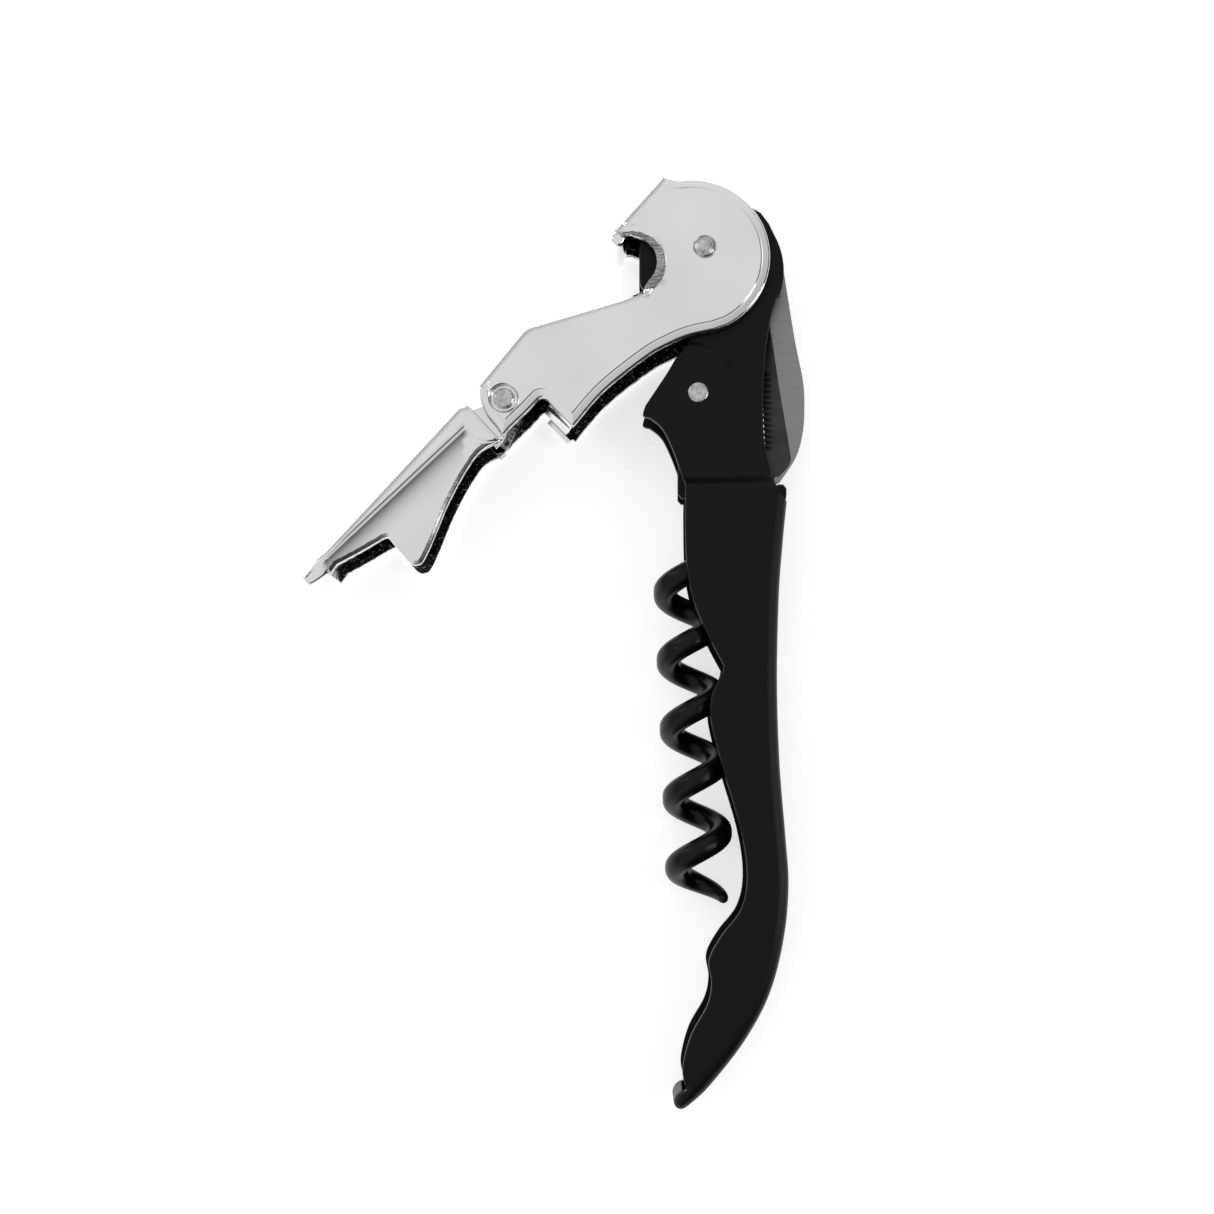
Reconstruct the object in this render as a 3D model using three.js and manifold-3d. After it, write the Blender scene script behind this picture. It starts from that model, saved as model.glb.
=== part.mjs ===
// Double-hinged waiter's corkscrew: a folded sheet-steel handle, a two-stage chromed lever,
// a five-turn coated worm in a holder, and a serrated foil blade.
// Millimetres, +Z up. The tool lies on its side, so every hinge axis is parallel to Z,
// and everything is symmetric about the mid-plane between the two side walls.
// The outlines are written from the lever pivot at (0, 0).
import * as THREE from "three";
import { mergeVertices } from "three/addons/utils/BufferGeometryUtils.js";
import Module from "manifold-3d";

const wasm = await Module();
wasm.setup();

// ---------------------------------------------------------------- driving dimensions
// the worm sets the width of every channel that it folds into
const WORM_OUTER = 9.2; // outside diameter of the helix
const WIRE = 3.1; // wire diameter
const WORM_PITCH = 9.0;
const WORM_TURNS = 5;
const SHANK_LENGTH = 21.4; // from the worm pivot to the first turn
const WORM_TILT = THREE.MathUtils.degToRad(2.45); // folded worm, away from straight down
const WORM_TAPER = 9; // length of wire that runs down to the point
const WORM_POINT = 0.35; // radius of the point

const SIDE_PLAY = 0.3; // between a piece and the wall it turns beside
const WORM_PLAY = 0.1; // between the helix and the lever walls
const PIN_PLAY = 0.15; // radial, pin in hole

const LEVER_SHEET = 1.4;
const HANDLE_SHEET = 1.0;
const PANEL_RISE = 0.2; // raised panel of the neck
const BLADE = 1.0;
const HOLDER_SHEET = 0.7;
const SPRING_SHEET = 0.6;
const SPRING_WIDTH = 4.6;

const PIN = 1.2; // radius of the three rivets
const PIN_HEAD = PIN + 0.15;
const COLLAR = PIN_HEAD + 0.2;
const DIMPLE = PIN_HEAD + 0.4;
const DIMPLE_DEPTH = 0.35;

const GRIP_LENGTH = 79.2; // shoulder to the end of the tail
const NOTCH_FALL = 0.4; // lower lever walls stand in from its back band

// pivots
const LEVER_PIVOT = new THREE.Vector2(0, 0);
const WORM_PIVOT = new THREE.Vector2(-0.87, -19.04);
const MID_PIVOT = new THREE.Vector2(-26.31, -20.11);

// ---------------------------------------------------------------- half widths, from inside out
const LEVER_IN = WORM_OUTER / 2 + WORM_PLAY;
const LEVER_OUT = LEVER_IN + LEVER_SHEET;
const GRIP_OUT = LEVER_OUT; // the closed lever is flush with the grip
const GRIP_IN = GRIP_OUT - HANDLE_SHEET;
const PANEL_OUT = LEVER_IN - SIDE_PLAY;
const NECK_OUT = PANEL_OUT - PANEL_RISE;
const NECK_IN = NECK_OUT - HANDLE_SHEET;
const EAR_OUT = LEVER_IN - SIDE_PLAY;
const EAR_IN = EAR_OUT - 1.2;
const HOLDER_OUT = NECK_IN - 0.2;
const HOLDER_IN = HOLDER_OUT - HOLDER_SHEET;

// ---------------------------------------------------------------- helpers
const v = (x, y) => new THREE.Vector2(x, y);
const list = (...numbers) => {
  const out = [];
  for (let i = 0; i < numbers.length; i += 2) out.push(v(numbers[i], numbers[i + 1]));
  return out;
};
const from = (origin, points) => points.map((p) => p.clone().add(origin));
const smooth = (points, count) => new THREE.SplineCurve(points).getSpacedPoints(count);
const arc = (centre, radius, from0, to0, count) => {
  const out = [];
  for (let i = 0; i <= count; i++) {
    const a = THREE.MathUtils.degToRad(from0 + ((to0 - from0) * i) / count);
    out.push(v(centre.x + radius * Math.cos(a), centre.y + radius * Math.sin(a)));
  }
  return out;
};

// the line through the points, moved sideways by the distance (positive is to its right)
function beside(points, distance) {
  return points.map((p, i) => {
    const a = points[Math.max(0, i - 1)];
    const b = points[Math.min(points.length - 1, i + 1)];
    const t = b.clone().sub(a).normalize();
    return v(p.x + t.y * distance, p.y - t.x * distance);
  });
}

function solid(geometry) {
  geometry.deleteAttribute("normal");
  geometry.deleteAttribute("uv");
  const merged = mergeVertices(geometry, 1e-4);
  return new wasm.Manifold(
    new wasm.Mesh({
      numProp: 3,
      vertProperties: new Float32Array(merged.attributes.position.array),
      triVerts: new Uint32Array(merged.index.array),
    }),
  );
}

function plate(points, low, high) {
  const shape = new THREE.Shape(points);
  const geometry = new THREE.ExtrudeGeometry(shape, { depth: high - low, bevelEnabled: false });
  return solid(geometry.translate(0, 0, low));
}

// the same plate on both sides of the mid-plane
const pair = (points, inner, outer) =>
  plate(points, inner, outer).add(plate(points, -outer, -inner));

// a turned piece about an axis parallel to Z: the profile is radius, height
function turned(centre, profile, segments = 28) {
  const geometry = new THREE.LatheGeometry(profile, segments);
  geometry.rotateX(Math.PI / 2);
  return solid(geometry.translate(centre.x, centre.y, 0));
}

// a straight pin through everything, as a cutter
const bore = (centre, radius, half = 20) =>
  turned(centre, list(0, -half, radius, -half, radius, half, 0, half));

function mesh(name, manifold, material) {
  const data = manifold.getMesh();
  const geometry = new THREE.BufferGeometry();
  geometry.setAttribute("position", new THREE.BufferAttribute(data.vertProperties, 3));
  geometry.setIndex(new THREE.BufferAttribute(data.triVerts, 1));
  const flat = geometry.toNonIndexed();
  flat.computeVertexNormals();
  const made = new THREE.Mesh(flat, material);
  made.name = name;
  return made;
}

// ---------------------------------------------------------------- materials
const blackCoat = new THREE.MeshStandardMaterial({
  color: 0x0a0a0b,
  roughness: 0.55,
  metalness: 0.1,
});
const chrome = new THREE.MeshStandardMaterial({
  color: 0xd9dadc,
  roughness: 0.12,
  metalness: 1,
});
const rivetSteel = new THREE.MeshStandardMaterial({
  color: 0xb9babc,
  roughness: 0.35,
  metalness: 1,
});
const bladeSteel = new THREE.MeshStandardMaterial({
  color: 0x8c8e90,
  roughness: 0.4,
  metalness: 1,
});
const springSteel = new THREE.MeshStandardMaterial({
  color: 0x6f7174,
  roughness: 0.45,
  metalness: 1,
});
const wormCoat = new THREE.MeshStandardMaterial({
  color: 0x0d0d0e,
  roughness: 0.4,
  metalness: 0.2,
});

// ---------------------------------------------------------------- handle
const NECK_END = -31.4; // where the neck meets the grip
const grip = (points) => {
  const stretch = GRIP_LENGTH / 79.2;
  return points.map((p) => v(p.x, NECK_END + (p.y - NECK_END) * stretch));
};

// back of the grip, from the shoulder to the curl at the tail
const gripBack = grip([
  ...list(9.2, -31.6, 9.5, -31.45, 10.1, -31.5, 10.5, -32.0, 10.5, -32.7),
  ...smooth(
    list(
      10.42, -33.5, 9.85, -39, 9.3, -46, 9.0, -57, 9.25, -67.5, 9.95, -77, 10.3, -83,
      9.7, -89.5, 7.9, -96.5, 4.7, -102.5, 0.2, -108.2, -2.5, -110.7,
    ),
    44,
  ),
  ...list(-3.05, -111.05, -3.55, -111.1, -3.95, -110.75, -4.05, -110.2, -3.7, -109.5, -3.05, -109.05),
]);
// front edge of the grip, from the tail up to the cusp, and on up to the shoulder
const gripFront = grip([
  ...smooth(
    list(
      -2.6, -108.8, -3.15, -106.2, -2.1, -102, -0.05, -98.3, 0.55, -95.5, 0.25, -92.5,
      1.8, -89.5, 4.3, -86.2, 5.15, -82, 4.4, -76.2, 2.1, -68.2, 0.6, -62, 0.8, -58.6, 2.1, -56,
    ),
    54,
  ),
  ...smooth(list(2.33, -55.1, 0.3, -51.2, -1.6, -46.6, -2.5, -41.5, -2.66, -34.5), 16),
]);
// neck and head, from the shoulder up the front edge, over the head and down the back
const HEAD_BACK = v(0.2, -2.7); // centre of the round back of the head
const neckOutline = [
  ...smooth(list(-2.62, -31.5, -3.3, -29.2, -4.3, -26.4, -5.6, -23.8, -7.2, -22.4), 12),
  ...list(-7.85, -22.25, -8.13, -21.9, -7.82, -20.8),
  ...smooth(list(-7.3, -20, -5, -16.5, -3.5, -14, -1.9, -12.1, -0.9, -10.9), 6),
  ...list(-0.2, -10.05, -0.3, -9.75),
  ...arc(LEVER_PIVOT, 9.45, 263, 215, 8),
  ...list(-8.05, -5.15, -8.55, -4.0, -8.6, 0.9),
  ...arc(LEVER_PIVOT, 8.55, 169, 44, 18),
  ...list(7.5, 5.15, 8.6, 3.65),
  ...arc(HEAD_BACK, 10.3, 28, -20, 10),
  ...smooth(list(9.54, -6.5, 8.7, -9.3, 7.95, -14.2, 7.65, -20, 7.75, -25, 8.35, -28.2, 9.2, -31.6), 20),
];
const handleOutline = [...neckOutline, ...gripBack.slice(1), ...gripFront];

// the side wall of the sheet in section: neck, the joggle out at the shoulder, then the grip
const wallSection = list(
  12, NECK_IN, 12, NECK_OUT, -30.0, NECK_OUT, -31.6, GRIP_OUT, -160, GRIP_OUT,
  -160, GRIP_IN, -32.1, GRIP_IN, -30.5, NECK_IN,
);
function foldedWalls() {
  const shape = new THREE.Shape(wallSection);
  const geometry = new THREE.ExtrudeGeometry(shape, { depth: 60, bevelEnabled: false });
  // section plane (y, z) extruded along x
  geometry.applyMatrix4(
    new THREE.Matrix4().makeBasis(
      new THREE.Vector3(0, 1, 0),
      new THREE.Vector3(0, 0, 1),
      new THREE.Vector3(1, 0, 0),
    ),
  );
  const near = solid(geometry.translate(-30, 0, 0));
  return near.add(near.mirror([0, 0, 1]));
}
// raised panel of the neck, which the closed lever covers
const panel = [
  ...list(-14, -12.6),
  ...smooth(list(-0.9, -12.6, 0.92, -13.1, 2.25, -13.87, 3.1, -15.1, 3.5, -16.6, 3.7, -19.5), 8),
  ...list(3.65, -30.2, -14, -30.2),
];
// the back strip of the grip, one sheet thick, which folds the two walls together
const spine = [
  ...gripBack,
  ...beside(gripBack, HANDLE_SHEET).slice(5, -1).reverse(),
  v(gripBack[5].x - HANDLE_SHEET - 0.5, gripBack[0].y),
];
let handle = plate(handleOutline, -GRIP_OUT, GRIP_OUT);
let sheet = foldedWalls().add(pair(panel, NECK_IN, PANEL_OUT));
sheet = sheet.add(plate(spine, -GRIP_OUT, GRIP_OUT));
handle = handle.intersect(sheet);
handle = handle.subtract(bore(LEVER_PIVOT, PIN + PIN_PLAY));
handle = handle.subtract(bore(WORM_PIVOT, PIN_HEAD + PIN_PLAY));

// ---------------------------------------------------------------- upper lever stage
const HEAD_CENTRE = v(-1.72, -1.25);
const HEAD_RADIUS = 10.25;
const MOUTH_CENTRE = v(-9.65, -1.8); // the cap lifter's mouth
const MOUTH_RADIUS = 3.35;
const lobe = from(
  MID_PIVOT,
  list(-0.12, -4.99, -0.95, -3.6, -2.2, -2.08, -2.96, -0.44, -3.12, 0.1, -3.22, 1.84),
);
const backWeb = [
  lobe[lobe.length - 1],
  ...list(-24.3, -11.78, -23.6, -11.0, -23.0, -10.65, -22.1, -10.4, -10.94, -7.03, -8.06, -5.95),
];
const hookWeb = list(-11.64, 2.55, -5.7, 9.26);
const upperOutline = [
  ...hookWeb,
  ...list(-5.3, 9.38, -4.29, 9.02),
  ...arc(HEAD_CENTRE, HEAD_RADIUS, 99, -64, 26),
  ...smooth(list(1.2, -11.05, -2.1, -11.8, -4.8, -12.95, -7.7, -14.65, -13.2, -19.1, -17.27, -23.87), 16),
  ...list(-20.28, -20.75, -20.7, -20.3, -21.2, -20.0, -21.7, -20.12, -23.52, -22.07, -25.51, -23.97),
  ...lobe.slice(0, -1),
  ...backWeb,
  ...arc(MOUTH_CENTRE, MOUTH_RADIUS, -45, 72, 14),
  ...list(-9.7, 1.85, -10.8, 1.8),
];
// the claw of the cap lifter runs on past the walls and is narrower than they are
const hookDirection = hookWeb[0].clone().sub(hookWeb[1]).normalize();
const CLAW = 1.1;
const claw = [hookWeb[0].clone().addScaledVector(hookDirection, CLAW), hookWeb[1]];
const hookBand = (line) => [...line, ...beside(line, LEVER_SHEET).reverse()];
let upper = pair(upperOutline, LEVER_IN, LEVER_OUT);
const backBand = [...backWeb, ...beside(backWeb, LEVER_SHEET).reverse()];
const upperBlank = plate(upperOutline, -LEVER_OUT, LEVER_OUT);
upper = upper.add(plate(backBand, -LEVER_OUT, LEVER_OUT).intersect(upperBlank));
upper = upper.add(plate(hookBand(hookWeb), -LEVER_OUT, LEVER_OUT));
upper = upper.add(plate(hookBand(claw), -LEVER_IN, LEVER_IN));
upper = upper.subtract(bore(LEVER_PIVOT, PIN + PIN_PLAY));
upper = upper.subtract(bore(MID_PIVOT, PIN + PIN_PLAY));
const dimple = list(0, LEVER_OUT - DIMPLE_DEPTH, DIMPLE, LEVER_OUT - DIMPLE_DEPTH, DIMPLE, 20, 0, 20);
const dimpleCut = turned(MID_PIVOT, dimple);
upper = upper.subtract(dimpleCut).subtract(dimpleCut.mirror([0, 0, 1]));

// ---------------------------------------------------------------- lower lever stage
const shoulder = from(MID_PIVOT, list(-0.35, -5.5, -5.0, -0.55));
const lowerBack = from(MID_PIVOT, list(-5.0, -0.55, -6.08, -0.88, -6.51, -1.33, -24.4, -20.99));
const lowerTip = from(MID_PIVOT, list(-25.86, -23.15, -25.6, -23.7, -24.72, -24.29, -22.5, -23.15));
const lowerFront = from(MID_PIVOT, [
  ...list(-21.57, -21.83, -18.89, -20.37, -15.57, -18.38, -14.78, -18.51),
  ...smooth(
    list(
      -14.2, -19.2, -12.8, -20.9, -11.43, -21.85, -10.1, -21.1, -9.2, -18.8, -6.9, -13.2,
      -3.65, -7.6, -0.8, -5.75,
    ),
    22,
  ),
]);
const lowerOutline = [...lowerBack, ...lowerTip, ...lowerFront, shoulder[0]];
// the band along the back stands proud of the walls
const bandEdge = from(
  MID_PIVOT,
  list(-23.3, -21.2, -5.1, -3.83, -3.66, -5.35, -2.23, -5.78, -0.6, -5.6),
);
const band = [...lowerBack, ...bandEdge, shoulder[0]];
const lowerTipBlock = [lowerBack[3], ...lowerTip, ...from(MID_PIVOT, list(-21.9, -22.5, -22.7, -20.5))];
const backStrip = [...lowerBack, ...beside(lowerBack, -LEVER_SHEET).reverse()];
const EAR_RADIUS = 2.05;
const earOutline = [
  ...from(MID_PIVOT, arc(v(0, 0), EAR_RADIUS, -15, 170, 12)),
  ...from(MID_PIVOT, list(-2.15, -0.5, -4.1, -1.2, -4.75, -2.35, -1.6, -5.75, -0.3, -5.45, 1.35, -2.2)),
];
const joggleBlock = from(MID_PIVOT, list(-4.5, -1.1, -0.35, -5.5, -1.1, -6.3, -5.3, -1.95));
let lower = pair(lowerOutline, LEVER_IN, LEVER_OUT - NOTCH_FALL);
lower = lower.add(pair(band, LEVER_IN, LEVER_OUT));
lower = lower.add(pair(earOutline, EAR_IN, EAR_OUT));
lower = lower.add(pair(joggleBlock, EAR_IN, LEVER_OUT));
lower = lower.add(plate(backStrip, -LEVER_OUT, LEVER_OUT));
lower = lower.add(plate(lowerTipBlock, -LEVER_OUT, LEVER_OUT));
lower = lower.subtract(bore(MID_PIVOT, PIN + PIN_PLAY));

// ---------------------------------------------------------------- rivets
const headed = (half) =>
  list(
    0, -half - 0.32, 0.8, -half - 0.27, PIN_HEAD, -half - 0.12, COLLAR, -half - 0.1, COLLAR, -half - 0.04,
    PIN, -half - 0.04, PIN, half + 0.04, COLLAR, half + 0.04, COLLAR, half + 0.1, PIN_HEAD, half + 0.12,
    0.8, half + 0.27, 0, half + 0.32,
  );
const flush = (half, step) =>
  list(
    0, -half, PIN_HEAD - 0.12, -half, PIN_HEAD, -half + 0.1, PIN_HEAD, -step, PIN, -step,
    PIN, step, PIN_HEAD, step, PIN_HEAD, half - 0.1, PIN_HEAD - 0.12, half, 0, half,
  );
const leverRivet = turned(LEVER_PIVOT, headed(LEVER_OUT));
const midRivet = turned(MID_PIVOT, flush(LEVER_OUT, LEVER_OUT - DIMPLE_DEPTH + 0.08));
const wormRivet = turned(WORM_PIVOT, flush(PANEL_OUT + 0.08, NECK_IN + 0.2));

// ---------------------------------------------------------------- blade and its spacers
const bladeBack = [
  v(10.25, -0.6),
  ...smooth(
    list(10.7, -1.6, 12.15, -11.2, 13.2, -16.8, 13.35, -20.5, 13.1, -23.8, 12.2, -27, 10.05, -30.3),
    18,
  ),
];
const TOOTH = 0.77; // pitch of the serrations
const TOOTH_DEPTH = 0.28;
const TEETH = 14;
const teeth = [];
for (let i = 0; i <= TEETH; i++) {
  const t = i / TEETH;
  const root = v(7.9 - 0.5 * t, -26.2 + TEETH * TOOTH * t);
  teeth.push(root);
  if (i < TEETH) teeth.push(v(root.x + TOOTH_DEPTH, root.y + TOOTH * 0.5));
}
const bladeOutline = [
  ...bladeBack,
  ...list(9.45, -30.45, 9.0, -30.3, 8.45, -29.4, 8.2, -28.2),
  ...teeth,
  ...list(7.15, -13.6, 6.4, -11.6, 3.4, -6.2),
  ...arc(LEVER_PIVOT, 4.1, -85, -265, 14),
  ...list(3.6, 3.9, 7.6, 2.6, 9.6, 0.8),
];
let blade = plate(bladeOutline, -BLADE / 2, BLADE / 2);
blade = blade.subtract(bore(LEVER_PIVOT, PIN + PIN_PLAY));
const spacerIn = BLADE / 2 + 0.2;
const spacerOut = NECK_IN - 0.2;
const spacerWall = PIN + PIN_PLAY;
const spacerProfile = [
  ...list(spacerWall, spacerIn, 3.0, spacerIn, 3.0, spacerOut, spacerWall, spacerOut),
  v(spacerWall, spacerIn),
];
const spacerNear = turned(LEVER_PIVOT, spacerProfile);
const spacerFar = spacerNear.mirror([0, 0, 1]);

// ---------------------------------------------------------------- worm and its holder
const wormDown = v(Math.sin(WORM_TILT), -Math.cos(WORM_TILT));
const wormRight = v(Math.cos(WORM_TILT), Math.sin(WORM_TILT));
const meanRadius = (WORM_OUTER - WIRE) / 2;
const wormPath = [];
const at = (along, right, z) => {
  const p = WORM_PIVOT.clone().addScaledVector(wormDown, along).addScaledVector(wormRight, right);
  return new THREE.Vector3(p.x, p.y, z);
};
const SHANK_SIDE = 0.46; // the shank meets the helix this far to the right of its own line
const STEPS = 22; // per turn
wormPath.push(at(0, 0, 0), at(SHANK_LENGTH * 0.35, 0, 0), at(SHANK_LENGTH * 0.7, 0.05, 0));
for (let i = 0; i <= WORM_TURNS * STEPS; i++) {
  const a = (i / STEPS) * Math.PI * 2;
  const ease = Math.min(1, i / (STEPS * 0.25));
  const side = SHANK_SIDE * (0.6 + 0.4 * ease) - meanRadius + meanRadius * Math.cos(a);
  wormPath.push(at(SHANK_LENGTH + (i / STEPS) * WORM_PITCH, side, meanRadius * Math.sin(a)));
}
// a round wire along the path, thinning to the point
function wire(points, radiusAt, around) {
  const positions = [];
  const index = [];
  const n = points.length;
  let side = new THREE.Vector3(0, 0, 1);
  for (let i = 0; i < n; i++) {
    const t = points[Math.min(n - 1, i + 1)].clone().sub(points[Math.max(0, i - 1)]).normalize();
    side = side.sub(t.clone().multiplyScalar(side.dot(t))).normalize();
    const up = t.clone().cross(side);
    for (let k = 0; k < around; k++) {
      const a = (k / around) * Math.PI * 2;
      const p = points[i]
        .clone()
        .addScaledVector(side, radiusAt(i) * Math.cos(a))
        .addScaledVector(up, radiusAt(i) * Math.sin(a));
      positions.push(p.x, p.y, p.z);
    }
  }
  for (let i = 0; i < n - 1; i++) {
    for (let k = 0; k < around; k++) {
      const a = i * around + k;
      const b = i * around + ((k + 1) % around);
      index.push(a, b, a + around, b, b + around, a + around);
    }
  }
  for (let k = 1; k < around - 1; k++) {
    index.push(0, k + 1, k);
    const last = (n - 1) * around;
    index.push(last, last + k, last + k + 1);
  }
  const geometry = new THREE.BufferGeometry();
  geometry.setAttribute("position", new THREE.Float32BufferAttribute(positions, 3));
  geometry.setIndex(index);
  return solid(geometry);
}
const lengths = wormPath.map((p, i) => (i ? p.distanceTo(wormPath[i - 1]) : 0));
const travelled = lengths.map((_, i) => lengths.slice(0, i + 1).reduce((a, b) => a + b, 0));
const wholeWire = travelled[travelled.length - 1];
const wireRadius = (i) => {
  const left = wholeWire - travelled[i];
  const full = Math.min(1, left / WORM_TAPER);
  return WORM_POINT + (WIRE / 2 - WORM_POINT) * Math.sqrt(full);
};
const EYE = 2.75; // radius of the flattened eye at the top of the shank
let worm = wire(wormPath, wireRadius, 12);
worm = worm.add(plate(arc(WORM_PIVOT, EYE, 0, 345, 23), -WIRE / 2, WIRE / 2));
worm = worm.subtract(bore(WORM_PIVOT, PIN + PIN_PLAY));

const HOLDER_FRONT = 2.6; // from the pivot to the front edge of the clip
const HOLDER_BACK = 3.2; // and to its back, behind the shank
const HOLDER_END = 13.85; // from the pivot to the open end
const hold = (x, y) => v(WORM_PIVOT.x + x, WORM_PIVOT.y + y);
const holderOutline = [
  ...arc(WORM_PIVOT, HOLDER_FRONT, 20, 180, 14),
  hold(-HOLDER_FRONT, -HOLDER_END + 0.5),
  hold(-HOLDER_FRONT + 0.45, -HOLDER_END),
  hold(HOLDER_BACK - 0.5, -HOLDER_END),
  hold(HOLDER_BACK, -HOLDER_END + 0.5),
  hold(HOLDER_BACK, -4.2),
];
const holderBack = [
  hold(HOLDER_BACK, -4.2),
  hold(HOLDER_BACK, -HOLDER_END + 0.5),
  hold(HOLDER_BACK - HOLDER_SHEET, -HOLDER_END + 0.5),
  hold(HOLDER_BACK - HOLDER_SHEET, -4.2),
];
let holder = pair(holderOutline, HOLDER_IN, HOLDER_OUT);
holder = holder.add(plate(holderBack, -HOLDER_OUT, HOLDER_OUT));
holder = holder.subtract(bore(WORM_PIVOT, PIN + PIN_PLAY));

// ---------------------------------------------------------------- back spring
// a leaf that stands on the inside of the spine and bears on the back of the holder
const SPRING_GAP = 0.3; // to the holder, and to the inside of the spine
const springRest = WORM_PIVOT.x + HOLDER_BACK + SPRING_GAP;
const SPRING_ROOT = v(9.1 - HANDLE_SHEET - SPRING_GAP - SPRING_SHEET, -49);
const springLine = smooth(
  [
    SPRING_ROOT,
    v(SPRING_ROOT.x + 0.1, -44),
    ...list(6.4, -37, 4.9, -29.5, springRest + 0.9, -23.5, springRest, -20.2, springRest + 0.7, -17.4),
  ],
  22,
);
const springBand = [...springLine, ...beside(springLine, SPRING_SHEET).reverse()];
const spring = plate(springBand, -SPRING_WIDTH / 2, SPRING_WIDTH / 2);

// ---------------------------------------------------------------- the assembly
const group = new THREE.Group();
group.add(mesh("handle_frame", handle, blackCoat));
group.add(mesh("lever_rivet", leverRivet, rivetSteel));
group.add(mesh("worm_rivet", wormRivet, rivetSteel));
group.add(mesh("blade_spacer_near", spacerNear, rivetSteel));
group.add(mesh("blade_spacer_far", spacerFar, rivetSteel));
group.add(mesh("lever_upper", upper, chrome));
group.add(mesh("mid_rivet", midRivet, rivetSteel));
group.add(mesh("lever_lower", lower, chrome));
group.add(mesh("worm", worm, wormCoat));
group.add(mesh("worm_holder", holder, blackCoat));
group.add(mesh("knife_blade", blade, bladeSteel));
group.add(mesh("back_spring", spring, springSteel));

// the origin is under the middle of the whole tool
const bounds = new THREE.Box3().setFromObject(group, true);
const middle = bounds.getCenter(new THREE.Vector3());
for (const child of group.children) child.position.set(-middle.x, -middle.y, -bounds.min.z);

export default group;
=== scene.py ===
"""The looks of a double-hinged waiter's corkscrew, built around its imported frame.

The tool lies on its side. Outlines are written in millimetres from the lever pivot, on the mid-plane
between the two side walls, and every mesh is placed in the frame's metres.
"""

import math

import bpy
import numpy as np
from mathutils import Matrix, Vector
from mathutils.geometry import delaunay_2d_cdt


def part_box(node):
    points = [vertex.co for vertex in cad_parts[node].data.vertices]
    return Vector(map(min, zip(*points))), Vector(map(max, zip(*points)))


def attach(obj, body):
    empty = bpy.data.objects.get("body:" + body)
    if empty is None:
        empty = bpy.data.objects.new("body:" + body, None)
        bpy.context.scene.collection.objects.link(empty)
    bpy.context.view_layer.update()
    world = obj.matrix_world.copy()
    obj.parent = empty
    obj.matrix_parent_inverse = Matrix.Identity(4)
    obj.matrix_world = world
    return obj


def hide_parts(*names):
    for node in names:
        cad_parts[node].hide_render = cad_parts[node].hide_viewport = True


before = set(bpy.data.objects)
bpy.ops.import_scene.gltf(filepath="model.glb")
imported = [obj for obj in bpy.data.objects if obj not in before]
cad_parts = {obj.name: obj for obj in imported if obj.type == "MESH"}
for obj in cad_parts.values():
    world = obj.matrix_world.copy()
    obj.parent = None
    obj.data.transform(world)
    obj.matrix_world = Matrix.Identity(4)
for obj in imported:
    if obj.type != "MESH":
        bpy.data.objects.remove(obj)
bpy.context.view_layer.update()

MM = 0.001

# ---------------------------------------------------------------- places and sizes from the frame


def middle_of(node):
    low, high = (np.array(corner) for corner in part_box(node))
    return (low + high) / 2


def half_height(node):
    low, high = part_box(node)
    return (high[2] - low[2]) / 2


PIVOT = middle_of("lever_rivet")
LEVER_PIVOT = np.zeros(2)
WORM_PIVOT = (middle_of("worm_rivet") - PIVOT)[:2]
MID_PIVOT = (middle_of("mid_rivet") - PIVOT)[:2]

LEVER_OUT = half_height("lever_upper")
GRIP_OUT = half_height("handle_frame")
PANEL_OUT = half_height("worm_rivet") - 0.08 * MM
LEVER_RIVET_OUT = half_height("lever_rivet")
WORM_RIVET_OUT = half_height("worm_rivet")
MID_RIVET_OUT = half_height("mid_rivet")
BLADE_OUT = half_height("knife_blade")
WORM_RADIUS = half_height("worm")

LEVER_SHEET = 1.4 * MM
HANDLE_SHEET = 1.0 * MM
PANEL_RISE = 0.2 * MM
NECK_OUT = PANEL_OUT - PANEL_RISE
EAR_OUT = LEVER_OUT - LEVER_SHEET - 0.3 * MM
EAR_IN = EAR_OUT - 1.2 * MM
LEVER_FOLD = 1.1 * MM  # outside radius of the lever's folds
SPINE_FOLD = 1.6 * MM  # and of the fold along the handle's back
FOLD_SPREAD = 0.2 * MM  # a bend stands out this much past the square corner
RIM_WIDTH = 1.1 * MM  # the pressed lever's free edges lean over this far in
RIM_SLOPE = 0.11
RIM_ROUND = 0.3 * MM  # and their corner is rounded this much
COAT_EDGE = 0.32 * MM  # coated edges of the handle are rounded this much
PIN_HEAD = 1.35 * MM
DIMPLE = 1.9 * MM  # radius of the pressed dimple round the middle rivet
DIMPLE_DEPTH = 0.35 * MM
WIRE = 3.1 * MM
WORM_PITCH = 9.0 * MM
WORM_TURNS = 5
WORM_SHANK = 21.4 * MM
WORM_TILT = math.radians(2.45)
WORM_TAPER = 9 * MM
WORM_POINT = 0.35 * MM
WORM_SIDE_STEP = 0.46 * MM  # the shank meets the helix this far to the right of its own line
GROOVE_DEPTH = 0.09  # of the groove along the outside of the wire, as a share of its radius
GROOVE_ANGLE = 0.42

# ---------------------------------------------------------------- lines in the plane of the walls


def mm(*numbers):
    """Points from pairs of millimetres, in metres."""
    return np.array(numbers, float).reshape(-1, 2) * MM


def smooth(points, per_span=10):
    """A smooth line through the points, in the plane or in space."""
    points = np.asarray(points)
    padded = np.vstack([points[:1], points, points[-1:]])
    line = []
    for i in range(len(points) - 1):
        before, start, end, after = padded[i : i + 4]
        t = np.linspace(0, 1, per_span, endpoint=False)[:, None]
        leave = (end - before) / 2
        arrive = (after - start) / 2
        cubic = (2 * start - 2 * end + leave + arrive) * t**3
        square = (-3 * start + 3 * end - 2 * leave - arrive) * t**2
        line.append(cubic + square + leave * t + start)
    line.append(points[-1:])
    return np.vstack(line)


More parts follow.
